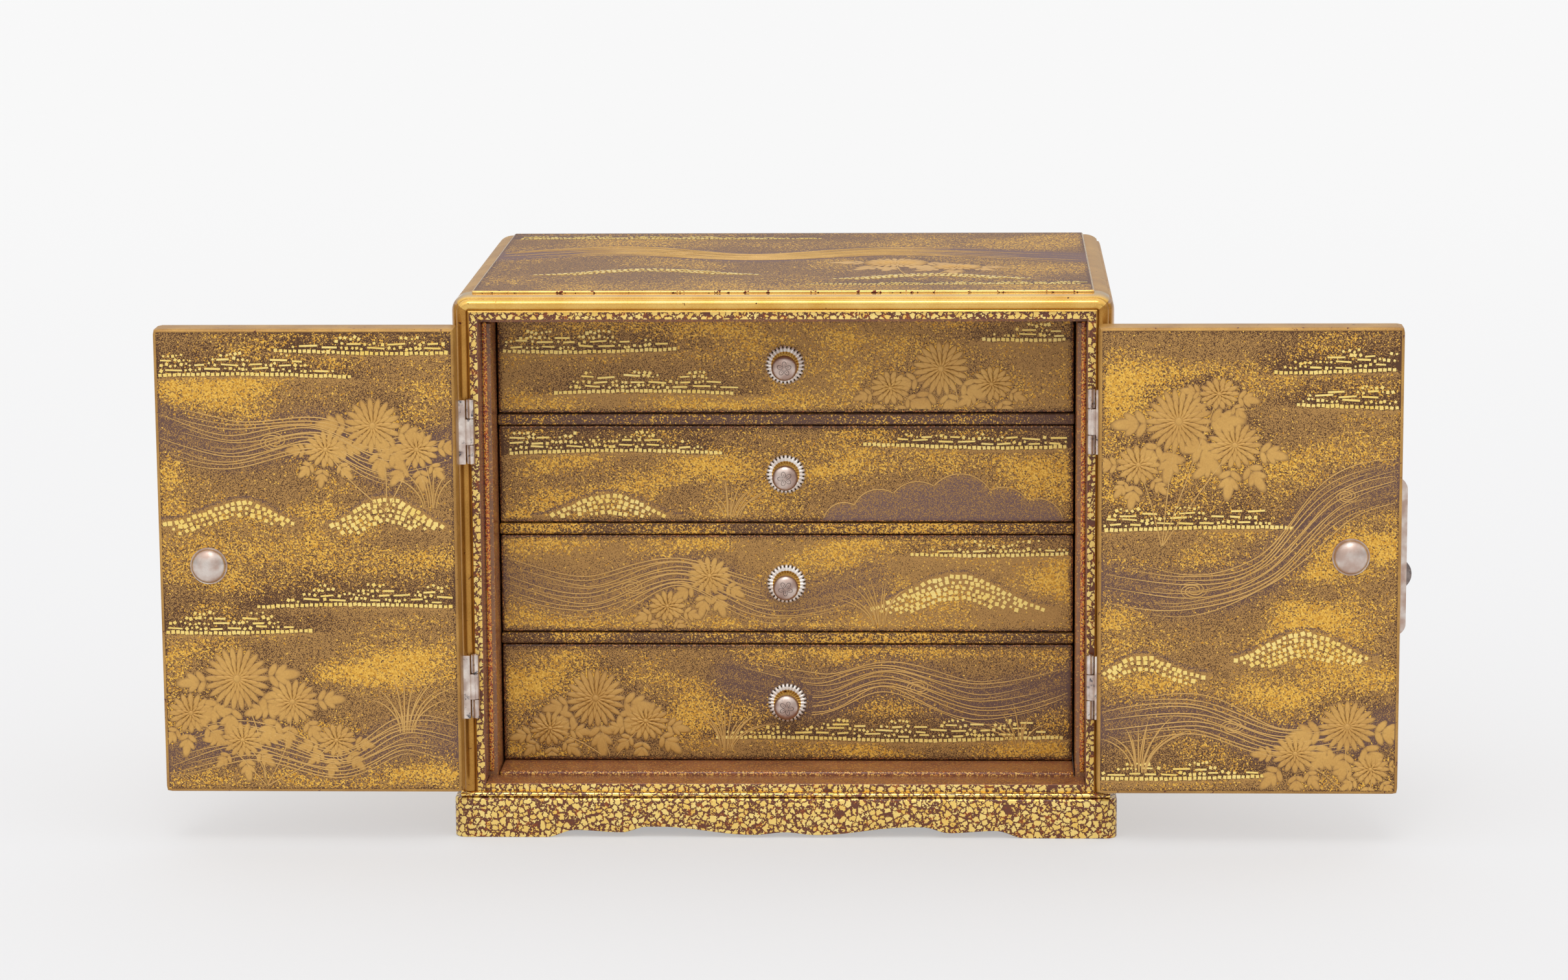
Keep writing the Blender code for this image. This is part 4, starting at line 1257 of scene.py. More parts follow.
@dataclass
class Carcass:
    """Top with its raised field, sides, back, bottom and dividers."""

    moulding: FrontFrame
    field_inset: float = 4.9
    field_back: float = 2.7
    field_ease: float = 0.5
    board_ease: float = 0.5
    bead: float = 1.2
    bead_rise: float = 0.45
    bead_ease: float = 0.4
    back_ease: float = 1.5
    designs: dict[str, Design] = field(default_factory=dict)

    def build(self) -> None:
        """Makes every board."""
        self.build_top()
        front = self.moulding.back
        back_low, back_high = box_mm("back_board")
        for word, normal in (("left", "-x"), ("right", "+x")):
            low, high = box_mm(f"side_board_{word}")
            outer = low.x if word == "left" else high.x
            middle = (outer, (front + back_low.y) / 2, (low.z + high.z) / 2)
            slab = Slab(back_low.y - front, high.z - low.z, high.x - low.x, self.board_ease, 1.0)
            place = looking(normal, middle)
            self.board(f"{word}_side", f"side_board_{word}", slab, place, self.designs["side"])
            (back_low if word == "left" else back_high).x = outer
        middle = ((back_low.x + back_high.x) / 2, back_high.y, (back_low.z + back_high.z) / 2)
        size = back_high - back_low
        slab = Slab(size.x, size.z, size.y, self.board_ease, 1.0)
        self.board("back_panel", "back_board", slab, looking("+y", middle), self.designs["back"])
        self.build_beads(front)
        low, high = box_mm("bottom_board")
        low.y = front
        bm = bmesh.new()
        for face in rounded_box(bm, low, high, 0.8, 4):
            face.normal_update()
            face.material_index = 1 if face.normal.y < -0.3 else 0
        make_piece("floor_panel", bm, "carcass", [JAMB, GLEAMING], replaces=["bottom_board"])
        for number in (1, 2, 3):
            node = f"divider_{number}"
            bm = bmesh.new()
            rounded_box(bm, *box_mm(node), 0.6, 4)
            # the rails get less dust than the fronts, partly as painted shade of the recess they lie in
            paint = plain_paint(*((0.3, 0.12, 0.4) if number == 1 else (0.62, 0.24, 0.1)))
            make_piece(
                f"drawer_rail_{number}", bm, "carcass", [PANEL], replaces=[node], paint=paint
            )

    def build_beads(self, front: float) -> None:
        """Makes the specked beads on the lips that the doors close against, whose faces lie at front."""
        shape = self.moulding
        floor, ceiling = box_mm("bottom_board")[1].z, box_mm("top_board")[0].z
        reach = shape.half - 0.1
        near, far = front - self.bead_rise, front + 0.5
        bm = bmesh.new()
        for side in (-1, 1):
            outer, inner = (shape.middle + side * x for x in (reach, reach - self.bead))
            rounded_box(bm, (outer, near, floor), (inner, far, ceiling), self.bead_ease, 4)
        left, right = shape.middle - reach, shape.middle + reach
        rounded_box(bm, (left, near, shape.top - self.bead), (right, far, shape.top - 0.1), self.bead_ease, 4)
        make_piece("doorway_beads", bm, "carcass", [SPECKED])

    def board(self, name: str, node: str, slab: Slab, place: Matrix, design: Design) -> None:
        """Makes one painted board with its decoration, in place of a CAD node."""
        design.fit(slab)
        bm = slab.build()
        for face in bm.faces:
            if face.material_index == 1 and abs(face.normal.x) > 0.7:
                face.material_index = 2 if node.startswith("side") else 0
        make_piece(
            name, bm, "carcass", [PANEL, JAMB, LIP],
            replaces=[node], place=place, paint=design.painter(),
        )
        design.dress(name, "carcass", place)

    def build_top(self) -> None:
        """Makes the top board with its gold border and the painted field that stands on it."""
        low, high = box_mm("top_board")
        shape = self.moulding
        width, middle = high.x - low.x, (low.x + high.x) / 2
        edge = [(width / 2, low.z), *shape.shoulder()]
        outline = edge + [(-across, up) for across, up in reversed(edge)]
        bm = bmesh.new()
        loop: list = []
        for angle in (None, 0, 30, 60, 90):
            inset = 0.0 if angle is None else self.back_ease * (1 - math.cos(math.radians(angle)))
            ease = self.back_ease * (1 - math.sin(math.radians(angle or 0.0)))
            y = shape.back if angle is None else high.y - ease
            places = [
                Vector((middle + math.copysign(abs(across) - inset, across), y, max(low.z, up - inset)))
                for across, up in outline
            ]
            loop = extrude_loop(bm, loop, places) if loop else first_loop(bm, places)
        close_loop(bm, loop)
        bmesh.ops.recalc_face_normals(bm, faces=bm.faces)
        for face in bm.faces:
            face.normal_update()
            outside = abs(face.normal.x) > 0.97 or face.normal.y > 0.7
            face.material_index = 2 if face.normal.y < -0.5 or face.normal.z < -0.5 else 1 if outside else 0
        make_piece(
            "top_border", bm, "carcass", [EDGE, PANEL, JAMB],
            replaces=["top_board"], paint=plain_paint(1.0, 0.6, 0.0), sharp_over=30,
        )
        start, end = shape.face + shape.strip_depth, high.y - self.field_back
        slab = Slab(width - 2 * self.field_inset, end - start, shape.field_rise + 0.5, self.field_ease, 0.8)
        place = looking("+z", (middle, (start + end) / 2, high.z))
        design = self.designs["top"]
        design.fit(slab)
        make_piece(
            "top_field", slab.build(), "carcass", [TOP_PANEL, RIM_GOLD],
            place=place, paint=design.painter(),
        )
        design.dress("top_field", "carcass", place)


@dataclass
class Plinth:
    """Hollow base ring with scalloped lower edges and rounded corners."""

    wall: float = 6.0
    corner: float = 3.0
    corner_steps: int = 8
    ease: float = 0.4
    top_ease: float = 0.7
    step: float = 1.1
    knots: Sequence[Point] = (
        (0, 0), (23.5, 0), (31, 1.9), (43, 1.3), (49.5, 2.8), (52.7, 2.8), (77, 0.7), (85, 1.4),
    )
    side_knots: Sequence[Point] = ((0, 0), (23.5, 0), (31, 1.9), (62, 1.3))

    def edge_height(self, knots: Sequence[Point], from_end: float) -> float:
        """Height of the scalloped edge at a distance from the nearer end."""
        for (x0, z0), (x1, z1) in zip(knots, knots[1:]):
            if from_end <= x1:
                t = max(0.0, (from_end - x0) / (x1 - x0))
                return z0 + (z1 - z0) * (1 - math.cos(math.pi * t)) / 2
        return knots[-1][1]

    def outline(self, size: Vector) -> list[tuple[Vector, Vector, float]]:
        """Points round the base, the way out at each, and the height of the scalloped edge there."""
        half = Vector((size.x / 2 - self.corner, size.y / 2 - self.corner, 0))
        made = []
        for k, (sx, sy) in enumerate(((1, -1), (1, 1), (-1, 1), (-1, -1))):
            centre = Vector((sx * half.x, sy * half.y, 0))
            for n in range(self.corner_steps + 1):
                turn = math.radians(90 * (k - 1 + n / self.corner_steps))
                away = Vector((math.cos(turn), math.sin(turn), 0))
                made.append((centre + away * self.corner, away, 0.0))
            run = 2 * (half.y if k % 2 == 0 else half.x)
            onward = Vector((-away.y, away.x, 0))
            start = made[-1][0]
            knots = self.knots if k == 3 else self.side_knots
            count = round(run / self.step)
            for n in range(1, count):
                past = run * n / count
                height = self.edge_height(knots, self.corner + min(past, run - past))
                made.append((start + onward * past, away, height))
        return made

    def build(self) -> None:
        """Makes the ring by carrying its section round the outline."""
        nodes = [f"plinth_{word}" for word in ("front", "back", "left", "right")]
        boxes = [box_mm(n) for n in nodes]
        low = Vector([min(b[0][k] for b in boxes) for k in range(3)])
        high = Vector([max(b[1][k] for b in boxes) for k in range(3)])
        middle = Vector(((low.x + high.x) / 2, (low.y + high.y) / 2, 0))
        outline = self.outline(high - low)
        top = box_mm("stile_left")[0].z

        def ring(inset: float, height: Optional[float], rise: float = 0.0) -> list[Vector]:
            """Places of one ring; without a height it follows the scalloped edge."""
            made = []
            for point, away, edge in outline:
                spot = middle + point - away * inset
                if inset > self.corner:
                    reach = [size / 2 - inset for size in (high.x - low.x, high.y - low.y)]
                    spot.x = middle.x + max(-reach[0], min(reach[0], point.x))
                    spot.y = middle.y + max(-reach[1], min(reach[1], point.y))
                spot.z = low.z + edge + rise if height is None else height
                made.append(spot)
            return made

        foot = arc((self.ease, self.ease), (self.ease, self.ease), 270, 180, 3)
        head = arc((self.top_ease, 0), (self.top_ease, self.top_ease), 180, 90, 5)
        rings = [ring(inset, None, rise) for inset, rise in foot]
        rings += [ring(inset, top - self.top_ease + z) for inset, z in head]
        bm = bmesh.new()
        loop = first_loop(bm, rings[0], fill=False)
        first = [bm.edges.get(pair) for pair in pairs(loop)]
        for places in [*rings[1:], ring(self.wall, top), ring(self.wall, None)]:
            loop = extrude_loop(bm, loop, places)
        bmesh.ops.bridge_loops(bm, edges=first + [bm.edges.get(pair) for pair in pairs(loop)])
        weld(bm)
        make_piece("plinth", bm, "carcass", [FLAKES], replaces=nodes)


@dataclass
class Door:
    """One door with its painted faces and its boss."""

    word: str
    inside: Design
    outside: Design
    ease: float = 0.8
    boss_radius: float = 4.75
    boss_rise: float = 2.4
    boss_rim: float = 0.4
    rivet: Point = (2.0, 0.8)  # radius, rise

    @property
    def body(self) -> str:
        """The door's CAD body."""
        return f"{self.word}_door"

    def build(self) -> None:
        """Makes the board, its decoration and the boss."""
        name = f"door_{self.word}"
        low, high = box_mm(name)
        middle = (low + high) / 2
        slab = Slab(high.x - low.x, high.z - low.z, high.y - low.y, self.ease, 0.6, both_faces=True)
        place = looking("-y", (middle.x, low.y, middle.z))
        boss_low, boss_high = box_mm(f"boss_{self.word}")
        spot = ((boss_low.x + boss_high.x) / 2, (boss_low.z + boss_high.z) / 2)
        self.inside.fit(slab, [(spot[0] - middle.x, spot[1] - middle.z, self.boss_radius + 0.4)])
        self.outside.fit(slab)

        def paint(co: Array) -> Array:
            """Paints the inner face by one design and the outer face by the other."""
            along, up = co[:, 0].astype(float), co[:, 1].astype(float)
            inner = (co[:, 2] > -slab.thickness / 2)[:, None]
            return np.where(inner, self.inside.weights(along, up), self.outside.weights(-along, up))

        make_piece(
            f"{self.body}_board", slab.build(), self.body, [PANEL, EDGE],
            replaces=[name], place=place, paint=paint,
        )
        self.inside.dress(f"{self.body}_inside", self.body, place)
        self.outside.dress(f"{self.body}_outside", self.body, looking("+y", (middle.x, high.y, middle.z)))
        self.build_boss(spot, low.y, high.y)

    def build_boss(self, spot: Point, inner: float, outer: float) -> None:
        """Makes the domed silver boss with its turned rim, and, on the left door, the clinched stud behind.
        """
        r, rim = self.boss_radius, self.boss_rim
        profile = [(0.0, rim + self.boss_rise), *arc((0, rim), (r - 0.35, self.boss_rise), 88, 0, 14)]
        profile += [(r - 0.3, rim - 0.1), (r - 0.05, rim - 0.05), (r, 0.2), (r, -0.02), (0.0, -0.02)]
        make_piece(
            f"{self.body}_boss", turned(profile, 56), self.body, [SILVER],
            replaces=[f"boss_{self.word}"], place=looking("-y", (spot[0], inner, spot[1])), sharp_over=60,
        )
        if self.word == "left":
            bm = turned([(0.0, self.rivet[1]), *arc((0, 0), self.rivet, 80, 0, 8), (0.0, 0.0)], 32)
            place = looking("+y", (spot[0], outer, spot[1]))
            make_piece(f"{self.body}_boss_rivet", bm, self.body, [SILVER], place=place)


@dataclass
class Hinge:
    """Three-knuckle silver hinge: two end knuckles on the stile's leaf and one on the door's."""

    word: str
    level: str
    height: float = 16.5
    knuckle: float = 1.05
    end_knuckle: float = 4.8
    pin: float = 0.5
    pin_end: float = 0.6
    gap: float = 0.15
    leaf: float = 0.9
    web: float = 0.25  # half the thickness of the leaf that is let into the stile
    lift: float = 0.04  # of the door's leaf off its face, so that it never lies in the frame's plane

    def barrel(self, bm: BMesh, axis: Point, low: float, high: float, radius: float) -> None:
        """Adds an upright barrel with eased ends."""
        middle = Matrix.Translation((*axis, (low + high) / 2))
        size = {"segments": 36, "radius1": radius, "radius2": radius, "depth": high - low}
        verts = bmesh.ops.create_cone(bm, cap_ends=True, matrix=middle, **size)["verts"]
        edges = {e for v in verts for e in v.link_edges}
        rims = [e for e in edges if abs(e.verts[0].co.z - e.verts[1].co.z) < WELD]
        ease_edges(bm, rims, radius * 0.16, 2)

    def build(self) -> None:
        """Makes both leaves."""
        name = f"{self.word}_{self.level}"
        low, high = box_mm(f"hinge_leaf_{name}")
        x, y = axis = (low.x + high.x) / 2, low.y + self.knuckle
        base = low.z + self.pin_end
        top = base + self.height
        inner = (base + self.end_knuckle, top - self.end_knuckle)
        ends = ((base, inner[0]), (inner[1], top))
        bm = bmesh.new()
        for start, end in ends:
            self.barrel(bm, axis, start, end, self.knuckle)
        self.barrel(bm, axis, base - self.gap, top + self.gap, self.pin)
        for start, end in ends:
            rounded_box(bm, (x - self.web, y, start), (x + self.web, high.y, end), 0.1, 2)
        make_piece(
            f"hinge_{name}_body_leaf", bm, "carcass", [DARK_SILVER],
            replaces=[f"hinge_leaf_{name}"],
        )
        low, high = box_mm(f"door_leaf_{name}")
        away = 1 if self.word == "right" else -1
        far = high.x if away > 0 else low.x
        near = x + away * (self.knuckle + self.gap)
        seat = box_mm(f"door_{self.word}")[1].y
        face = seat + self.leaf
        start, end = inner[0] + self.gap, inner[1] - self.gap
        bm = bmesh.new()
        self.barrel(bm, axis, start, end, self.knuckle)
        rounded_box(bm, (near, seat + self.lift, base), (far, face, top), 0.2, 2)
        rounded_box(bm, (x, seat + 0.3, start), (near + away * 0.5, face, end), 0.1, 2)
        for step in (-0.3, 0.0, 0.3):
            inset = 2.0 + 1.4 * (step == 0)  # the middle rivet sits nearer the knuckle
            spot = Vector((far - away * inset, face, (base + top) / 2 + step * self.height))
            axes = Matrix.Translation(spot) @ Matrix.Diagonal((0.75, 0.3, 0.75, 1.0))
            bmesh.ops.create_uvsphere(bm, u_segments=16, v_segments=8, radius=1.0, matrix=axes)
        make_piece(
            f"hinge_{name}_door_leaf", bm, f"{self.word}_door", [DARK_SILVER],
            replaces=[f"door_leaf_{name}"],
        )


@dataclass
class Lock:
    """Silver lock plate on the right door's outer face, with a domed knob."""

    corner: float = 3.0
    ease: float = 0.25
    border: float = 1.3
    knob_radius: float = 4.25
    knob_rise: float = 3.0
    stem: float = 1.3

    def build(self) -> None:
        """Makes the plate with its sunk border line, and the knob."""
        low, high = box_mm("lock_plate")
        low.y = box_mm("door_right")[1].y
        bm = bmesh.new()
        add_box(bm, low, high)
        ease_edges(bm, [e for e in bm.edges if abs(e.verts[0].co.y - e.verts[1].co.y) > 0.1], self.corner, 8)
        rim = {e for f in bm.faces if f.normal.y > 0.9 for e in f.edges}
        ease_edges(bm, list(rim), self.ease, 2)
        face = [max((f for f in bm.faces if f.normal.y > 0.99), key=lambda f: f.calc_area())]
        for wide, sink in ((self.border, 0.0), (0.15, -0.15), (0.35, 0.0), (0.15, 0.15)):
            bmesh.ops.inset_region(bm, faces=face, thickness=wide, depth=sink, use_even_offset=True)
        make_piece("lock_cover", bm, "right_door", [SILVER], replaces=["lock_plate"])
        knob_low, knob_high = box_mm("lock_knob")
        spot = ((knob_low.x + knob_high.x) / 2, high.y, (knob_low.z + knob_high.z) / 2)
        r, h = self.knob_radius, self.knob_rise
        profile = [(0.0, h + 0.3), *arc((0, 0.3), (r, h), 86, 0, 14), (r - 0.15, 0.05)]
        profile += [(self.stem, 0.0), (self.stem, -0.4), (0.0, -0.4)]
        make_piece(
            "lock_pull", turned(profile, 56), "right_door", [AGED_SILVER],
            replaces=["lock_knob"], place=looking("+y", spot), sharp_over=60,
        )


@dataclass
class Drawer:
    """One drawer: painted front, boarded box, flower washer and engraved knob."""

    number: int
    design: Design
    ease: float = 0.5
    petals: int = 28
    petal_steps: int = 6
    rosette: float = 4.95
    flute: float = 0.34
    knob: float = 3.3
    knob_rise: float = 7.5
    knob_dome: float = 1.5
    collar: float = 2.0

    @property
    def body(self) -> str:
        """The drawer's CAD body."""
        return f"drawer_{self.number}"

    def build(self) -> None:
        """Makes the drawer's pieces."""
        low, high = box_mm(f"{self.body}_front")
        middle = (low + high) / 2
        slab = Slab(high.x - low.x, high.z - low.z, high.y - low.y, self.ease, 0.6)
        self.design.fit(slab, [(0.0, 0.0, self.rosette + 0.5)])
        place = looking("-y", (middle.x, low.y, middle.z))
        # the front's eased rim takes the dark inside lacquer as painted shade in the gaps round the drawer
        make_piece(
            f"{self.body}_face", slab.build(), self.body, [PANEL, INSIDE],
            replaces=[f"{self.body}_front"], place=place, paint=self.design.painter(),
        )
        self.design.dress(f"{self.body}_face", self.body, place)
        boards = [f"{self.body}_{word}" for word in ("wall_left", "wall_right", "wall_back", "floor")]
        bm = bmesh.new()
        for board in boards:
            rounded_box(bm, *box_mm(board), 0.35, 2)
        make_piece(f"{self.body}_box", bm, self.body, [INSIDE], replaces=boards)
        self.build_rosette(place)
        self.build_knob(place, high.y - low.y)

    def build_rosette(self, place: Matrix) -> None:
        """Makes the fluted flower washer, gilt in its hollow and silver at its petal tips."""
        r, count = self.rosette, self.petals * self.petal_steps
        rings = (  # radius, height, and how far the flutes swell it and groove it
            (r - 0.1, 0.0, 0.5, 0.0), (r, 0.3, 1.0, 0.3), (r - 0.12, 0.55, 0.9, 0.9),
            (r - 0.6, 0.8, 0.4, 1.0), (r - 1.4, 0.95, 0.0, 1.0), (r - 2.0, 0.85, 0.0, 0.7),
            (self.collar + 0.5, 0.7, 0.0, 0.3), (self.collar - 0.3, 0.9, 0.0, 0.0),
            (self.collar - 0.8, 1.0, 0.0, 0.0),
        )
        bm = bmesh.new()
        loop: list = []
        for n, (radius, height, swell, groove) in enumerate(rings):
            places = []
            for k in range(count):
                turn = 2 * math.pi * k / count - math.pi
                ridge = abs(math.cos(turn * self.petals / 2)) - 0.5
                out = radius + self.flute * swell * ridge
                lift = height + self.flute * groove * ridge
                places.append((out * math.cos(turn), out * math.sin(turn), lift))
            if not loop:
                loop = first_loop(bm, places, fill=False)
                continue
            old = set(bm.faces)
            loop = extrude_loop(bm, loop, places)
            for side in set(bm.faces) - old:
                spot = side.calc_center_median()
                ridge = abs(math.cos(math.atan2(spot.y, spot.x) * self.petals / 2))
                gap = ridge < (0.42 if n < 4 else 0.2)
                side.material_index = 2 if gap and n < 6 else 1 if n > 4 else 0
        close_loop(bm, loop)
        bmesh.ops.recalc_face_normals(bm, faces=bm.faces)
        # the petal tips' silver carries a painted sheen
        make_piece(
            f"{self.body}_flower_washer", bm, self.body, [PETAL_SILVER, GILT, ENGRAVED],
            replaces=[f"rosette_{self.number}"], place=place, sharp_over=70,
        )

    def build_knob(self, place: Matrix, front: float) -> None:
        """Makes the mushroom knob with an engraved flower, and the clinch behind the front."""
        top, r, dome, collar = self.knob_rise, self.knob, self.knob_dome, self.collar
        profile = [(0.0, top), *arc((0, top - dome), (r, dome), 86, 0, 12)]
        profile += arc((r - 0.7, top - dome), (0.7, 0.75), 0, -80, 6)
        profile += [(1.35, top - 2.6), (1.3, top - 3.2), (1.3, 2.6), (1.55, 2.25), (collar, 2.0)]
        profile += [(collar + 0.1, 1.7), (collar, 1.3), (1.1, 1.1), (1.1, -front), (2.0, -front)]
        profile += [(1.5, -front - 0.75), (0.0, -front - 0.8)]
        make_piece(
            f"{self.body}_pull", turned(profile, 48), self.body, [HANDLED_SILVER],
            replaces=[f"knob_{self.number}"], place=place, sharp_over=50,
        )
        strokes: list[Stroke] = []
        for k in range(5):
            first = 2 * math.pi * k / 5 + 0.3 * self.number
            run: Stroke = []
            for t in (i / 16 for i in range(17)):
                swing = 0.52 * math.sin(math.pi * t)
                turn = first + (t - 0.5) * 1.15
                reach = 0.5 + 1.35 * math.sin(math.pi * t) ** 0.7
                run.append((reach * math.cos(turn), reach * math.sin(turn), 0.05 + 0.04 * swing))
            strokes.append(run)
            strokes.append([(q * math.cos(first), q * math.sin(first), 0.05) for q in (0.3, 0.6, 0.9, 1.2)])
        bm = drawn(strokes)
        for vert in bm.verts:
            reach = min(1.0, math.hypot(vert.co.x, vert.co.y) / r)
            vert.co.z = vert.co.z * 0.5 + top - dome + dome * math.sqrt(1 - reach * reach)
        make_piece(f"{self.body}_pull_engraving", bm, self.body, [ENGRAVED], place=place)


def front_designs() -> dict[str, Design]:
    """Decoration of the doors' inner faces and the drawers."""
    left_door = [
        Stream([(-40, 36), (-20, 30), (2, 33), (20, 26), (40, 30)], 13, 12, [(-8, 31, 4.2)]),
        Sandbar(20, 10, 17, 7.5, 5),
        Sandbar(-20, 11, 19, 5.5, 3, 0.2),
        MistBand(-37, 14, 47),
        MistBand(-8, 37, 53, 4, Taper.LEFT),
        MistBand(-14, 37, -12, 5, Taper.LEFT),
        MistBand(-37, 2, -18.5),
        Stream([(-40, -52), (-18, -46), (6, -52), (24, -45), (40, -48)], 11, 10, [(8, -50, 3.6)]),
        Chrysanthemums(
            [
                Bloom(-19, -30, 8.6), Bloom(-5, -36, 7.0, 0.86), Bloom(-31, -39, 6.0, 0.9),
                Bloom(-18, -46, 5.6, 0.85), Bloom(6, -46, 5.2, 0.85),
            ],
            (-12, -58),
        ),
        Chrysanthemums([Bloom(17, 35, 7.4), Bloom(28, 29, 5.8, 0.88), Bloom(5, 29, 5.6, 0.88)], (20, 13)),
        Grass(24, -44, 19, 13, 0.2),
        Grass(31, 14, 15, 9, -0.3),
    ]
    right_door = [
        Chrysanthemums(
            [
                Bloom(-18, 36, 8.6), Bloom(-4, 30, 7.0, 0.88), Bloom(-28, 25, 5.8, 0.9),
                Bloom(-8, 43, 5.2, 0.8),
            ],
            (-22, 4),
        ),
        MistBand(4, 37, 48, 5, Taper.LEFT),
        MistBand(10, 37, 39, 5, Taper.LEFT),
        MistBand(-37, 12, 8),
        Stream([(40, 22), (22, 16), (4, -2), (-16, -8), (-40, -4)], 12, 11, [(-14, -7, 3.8), (24, 17, 3.2)]),
        Sandbar(14, -24, 20, 7.0, 5),
        Sandbar(-24, -28, 15, 5.0, 3, -0.2),
        Stream([(-40, -42), (-14, -39), (10, -46), (40, -41)], 11, 10, [(-4, -42, 3.6)]),
        Chrysanthemums(
            [Bloom(25, -42, 7.6, 0.9), Bloom(12, -49, 6.2, 0.85), Bloom(31, -53, 5.0, 0.85)], (28, -62)
        ),
        MistBand(-37, 6, -56, 4),
        Grass(-27, -54, 20, 13, 0.3),
    ]
    drawer_1 = [
        MistBand(-74, -26, 3),
        MistBand(-60, -12, -8, 5, Taper.BOTH),
        Chrysanthemums(
            [Bloom(40, -1, 7.4), Bloom(53, -5, 5.6, 0.85), Bloom(27, -6, 5.4, 0.85)], (44, -14), 4
        ),
        MistBand(50, 74, 6, 4, Taper.LEFT),
    ]
    drawer_2 = [
        CloudBank(
            [(34, -10, 8), (24, -11, 7), (45, -9, 9), (56, -11, 7.5), (65, -13, 6.5), (15, -13, 5.5)], -13
        ),
        MistBand(-72, -14, 5),
        Sandbar(-46, -11, 21, 6.5, 4),
        Grass(-14, -12, 15, 11, 0.3),
        MistBand(20, 74, 6.5, 5, Taper.LEFT),
    ]
    drawer_3 = [
        Stream([(-76, 2), (-52, -4), (-28, 3), (-4, -5), (22, 0)], 12, 11, [(-40, -1, 3.6)]),
        Sandbar(44, -6, 26, 9, 5),
        Grass(24, -12, 17, 11, -0.2),
        MistBand(30, 74, 7, 4, Taper.LEFT),
        Chrysanthemums([Bloom(-20, 2, 5.8, 0.9), Bloom(-31, -6, 5.0, 0.85)], (-24, -14), 4),
    ]
    drawer_4 = [
        Stream([(76, 6), (50, 0), (26, 7), (8, 2), (-14, 6)], 12, 11, [(34, 4, 3.8)]),
        Chrysanthemums(
            [Bloom(-50, 1, 8.0), Bloom(-37, -5, 6.2, 0.88), Bloom(-62, -7, 5.6, 0.85)], (-46, -16)
        ),
        MistBand(-20, 74, -10.5, 5, Taper.BOTH),
        Grass(-16, -13, 18, 13, 0.3),
        Grass(60, -12, 14, 9, -0.3),
    ]
    return {
        "left_door": Design(left_door, 11),
        "right_door": Design(right_door, 12),
        "drawer_1": Design(drawer_1, 21, dust=0.86),
        "drawer_2": Design(drawer_2, 22, dust=0.64),
        "drawer_3": Design(drawer_3, 23, dust=0.88),
        "drawer_4": Design(drawer_4, 24, dust=0.68),
    }


def outer_designs() -> dict[str, Design]:
    """Quieter decoration of the top, sides, back and the doors' outer faces."""
    door = [
        MistBand(-37, 20, 40),
        MistBand(-6, 37, 30, 5, Taper.LEFT),
        Chrysanthemums(
            [Bloom(-8, -12, 9.0), Bloom(9, -20, 7.0, 0.88), Bloom(-22, -24, 6.0, 0.88)], (-4, -52)
        ),
        Stream([(-40, -44), (-12, -48), (14, -42), (40, -47)], 12, 11, [(12, -44, 3.8)]),
        Grass(24, -40, 18, 11, 0.2),
    ]
    side = [
        MistBand(-57, 10, 36),
        MistBand(-8, 57, 24, 5, Taper.LEFT),
        Chrysanthemums([Bloom(22, -12, 9.0), Bloom(37, -20, 7.0, 0.88), Bloom(9, -24, 6.2, 0.88)], (26, -50)),
        Sandbar(-26, -20, 26, 9, 4),
        Stream([(-60, -42), (-26, -38), (4, -46), (60, -40)], 13, 12, [(-20, -40, 4.0)]),
    ]
    back = [
        MistBand(-74, 4, 38),
        MistBand(4, 74, 26, 5, Taper.LEFT),
        Sandbar(-34, -8, 30, 10, 4),
        Chrysanthemums([Bloom(38, -8, 9.4), Bloom(54, -18, 7.2, 0.88), Bloom(24, -20, 6.4, 0.88)], (42, -48)),
        Stream([(-76, -36), (-40, -42), (0, -34), (40, -42), (76, -37)], 14, 12, [(-8, -37, 4.2)]),
    ]
    top = [
        Stream([(-80, 8), (-46, 20), (-10, 6), (30, 18), (80, 4)], 18, 13, [(-30, 14, 5.0)]),
        Sandbar(-36, -28, 34, 12, 4),
        Sandbar(38, -36, 30, 10, 4),
        MistBand(-76, 10, 44),
        MistBand(0, 76, -48, 4, Taper.LEFT),
        Chrysanthemums([Bloom(28, -6, 9.0), Bloom(44, -14, 7.0, 0.9)], (34, -40)),
    ]
    return {
        "left_outside": Design(door, 31),
        "right_outside": Design(door, 32),
        "side": Design(side, 41),
        "back": Design(back, 42),
        "top": Design(top, 43, dust=0.34, amber=0.4, bare=0.4),
    }


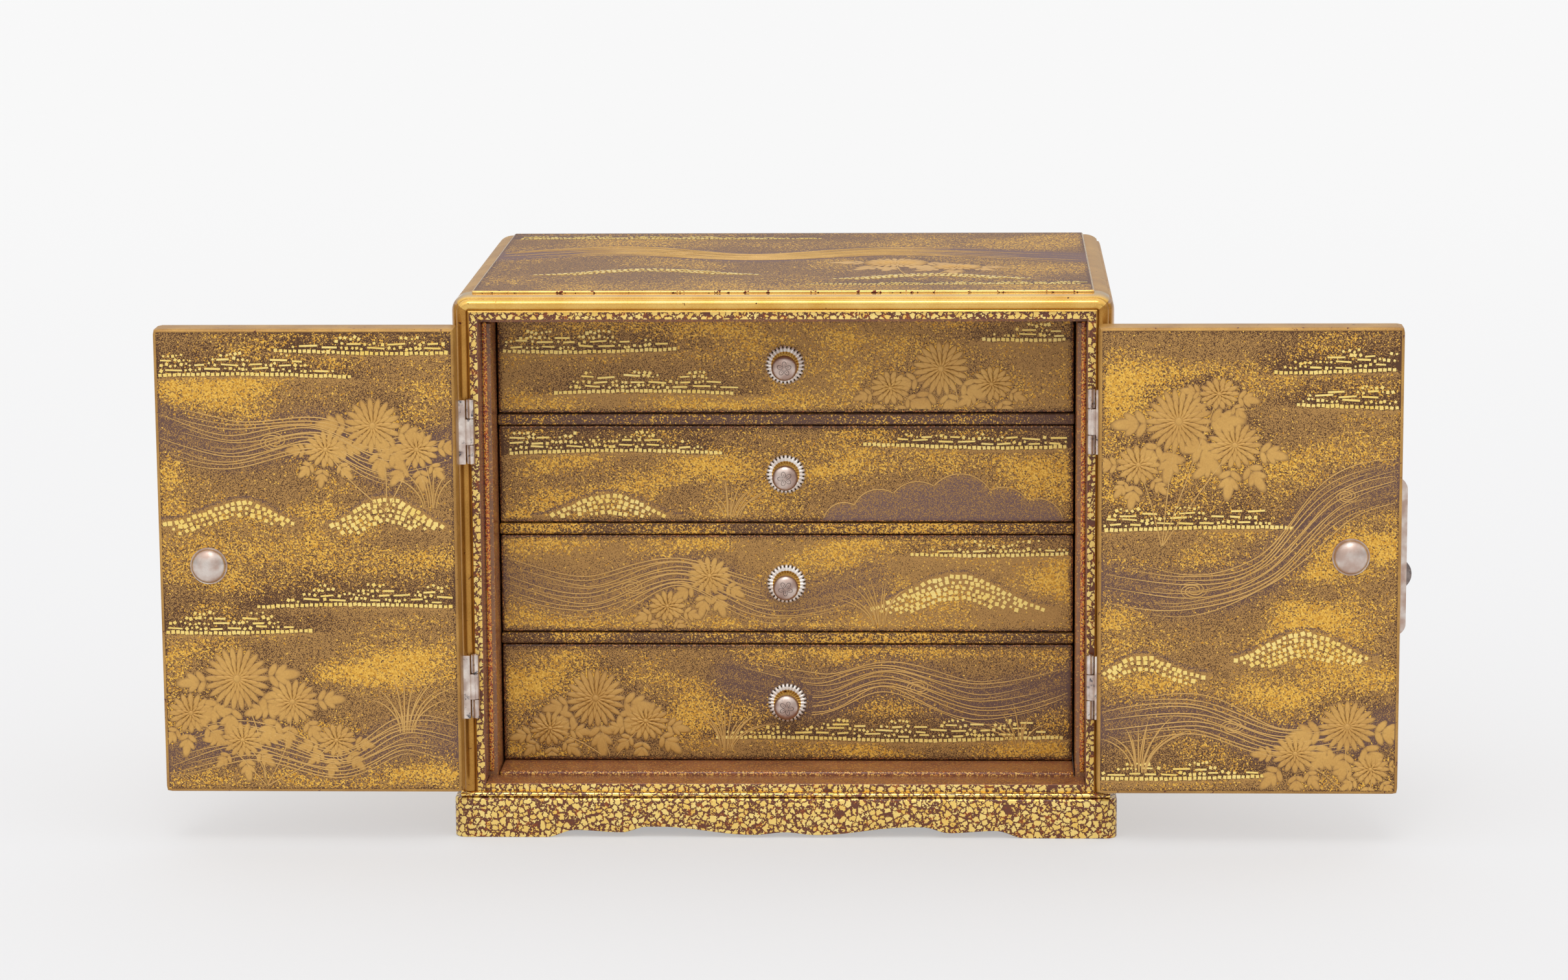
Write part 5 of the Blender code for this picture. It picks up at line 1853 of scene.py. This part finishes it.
@dataclass
class Studio:
    """Paper floor, soft light from above the viewer, and the camera of the photograph."""

    lens: float = 107.1
    sensor: float = 36.0
    place: Triple = (44.725, -1217.6, 302.3)  # millimetres
    yaw: float = -2.223
    pitch: float = 10.32
    roll: float = 0.399
    floor: float = 9.0  # half its side, metres
    sky: Point = (0.5, 1.15)  # strength of the light at the horizon and overhead

    def build(self) -> None:
        """Makes the floor, the lights and the camera."""
        mesh = template("paper_floor", bmesh.ops.create_grid, x_segments=8, y_segments=8, size=self.floor)
        mesh.materials.append(PAPER.material())
        floor = bpy.data.objects.new("paper_floor", mesh)
        bpy.context.scene.collection.objects.link(floor)
        world = bpy.context.scene.world or bpy.data.worlds.new("studio")
        bpy.context.scene.world = world
        world.use_nodes = True
        tree = world.node_tree
        up = add(tree, "SeparateXYZ", [add(tree, "TexCoord").outputs["Generated"]]).outputs[2]
        level = add(tree, "MapRange", (up, 0.0, 0.8, *self.sky), interpolation_type="SMOOTHSTEP")
        sky = tree.nodes["Background"].inputs
        sky["Color"].default_value = (1.0, 1.0, 1.0, 1.0)
        tree.links.new(output(level), sky["Strength"])
        self.sun("key", 0.5, 24.0, (-0.04, -0.6, 1.0))
        self.sun("fill", 0.25, 70.0, (-0.3, -1.0, 0.5))
        self.camera()
        bpy.context.scene.view_settings.view_transform = "Standard"

    def sun(self, name: str, energy: float, spread: float, towards: Triple) -> None:
        """Adds a soft sun that shines from a direction."""
        lamp = bpy.data.lights.new(name, "SUN")
        lamp.energy = energy
        lamp.angle = math.radians(spread)
        holder = bpy.data.objects.new(name, lamp)
        holder.rotation_euler = Vector(towards).to_track_quat("Z", "Y").to_euler()
        bpy.context.scene.collection.objects.link(holder)

    def camera(self) -> None:
        """Adds the camera, turned as the photograph's was."""
        yaw, pitch, roll = (math.radians(a) for a in (self.yaw, self.pitch, self.roll))
        ahead = Vector((math.sin(yaw) * math.cos(pitch), math.cos(yaw) * math.cos(pitch), -math.sin(pitch)))
        right = Vector((math.cos(yaw), -math.sin(yaw), 0.0))
        down = ahead.cross(right)
        across = math.cos(roll) * right + math.sin(roll) * down
        below = -math.sin(roll) * right + math.cos(roll) * down
        turn = Matrix((across, -below, -ahead)).transposed().to_4x4()
        data = bpy.data.cameras.new("camera")
        data.lens = self.lens
        data.sensor_width = self.sensor
        data.clip_end = 50.0
        camera = bpy.data.objects.new("camera", data)
        camera.matrix_world = Matrix.Translation(Vector(self.place) * MM) @ turn
        bpy.context.scene.collection.objects.link(camera)
        bpy.context.scene.camera = camera


def main() -> None:
    """Builds the studio and every piece."""
    logging.basicConfig(level=logging.INFO, format="%(message)s")
    Studio().build()
    fronts = front_designs()
    outers = outer_designs()
    moulding = FrontFrame()
    moulding.build()
    Carcass(moulding, designs=outers).build()
    Plinth().build()
    for word in ("left", "right"):
        Door(word, fronts[f"{word}_door"], outers[f"{word}_outside"]).build()
        for level in ("upper", "lower"):
            Hinge(word, level).build()
    Lock().build()
    for number in (1, 2, 3, 4):
        Drawer(number, fronts[f"drawer_{number}"]).build()


if __name__ == "__main__":
    main()
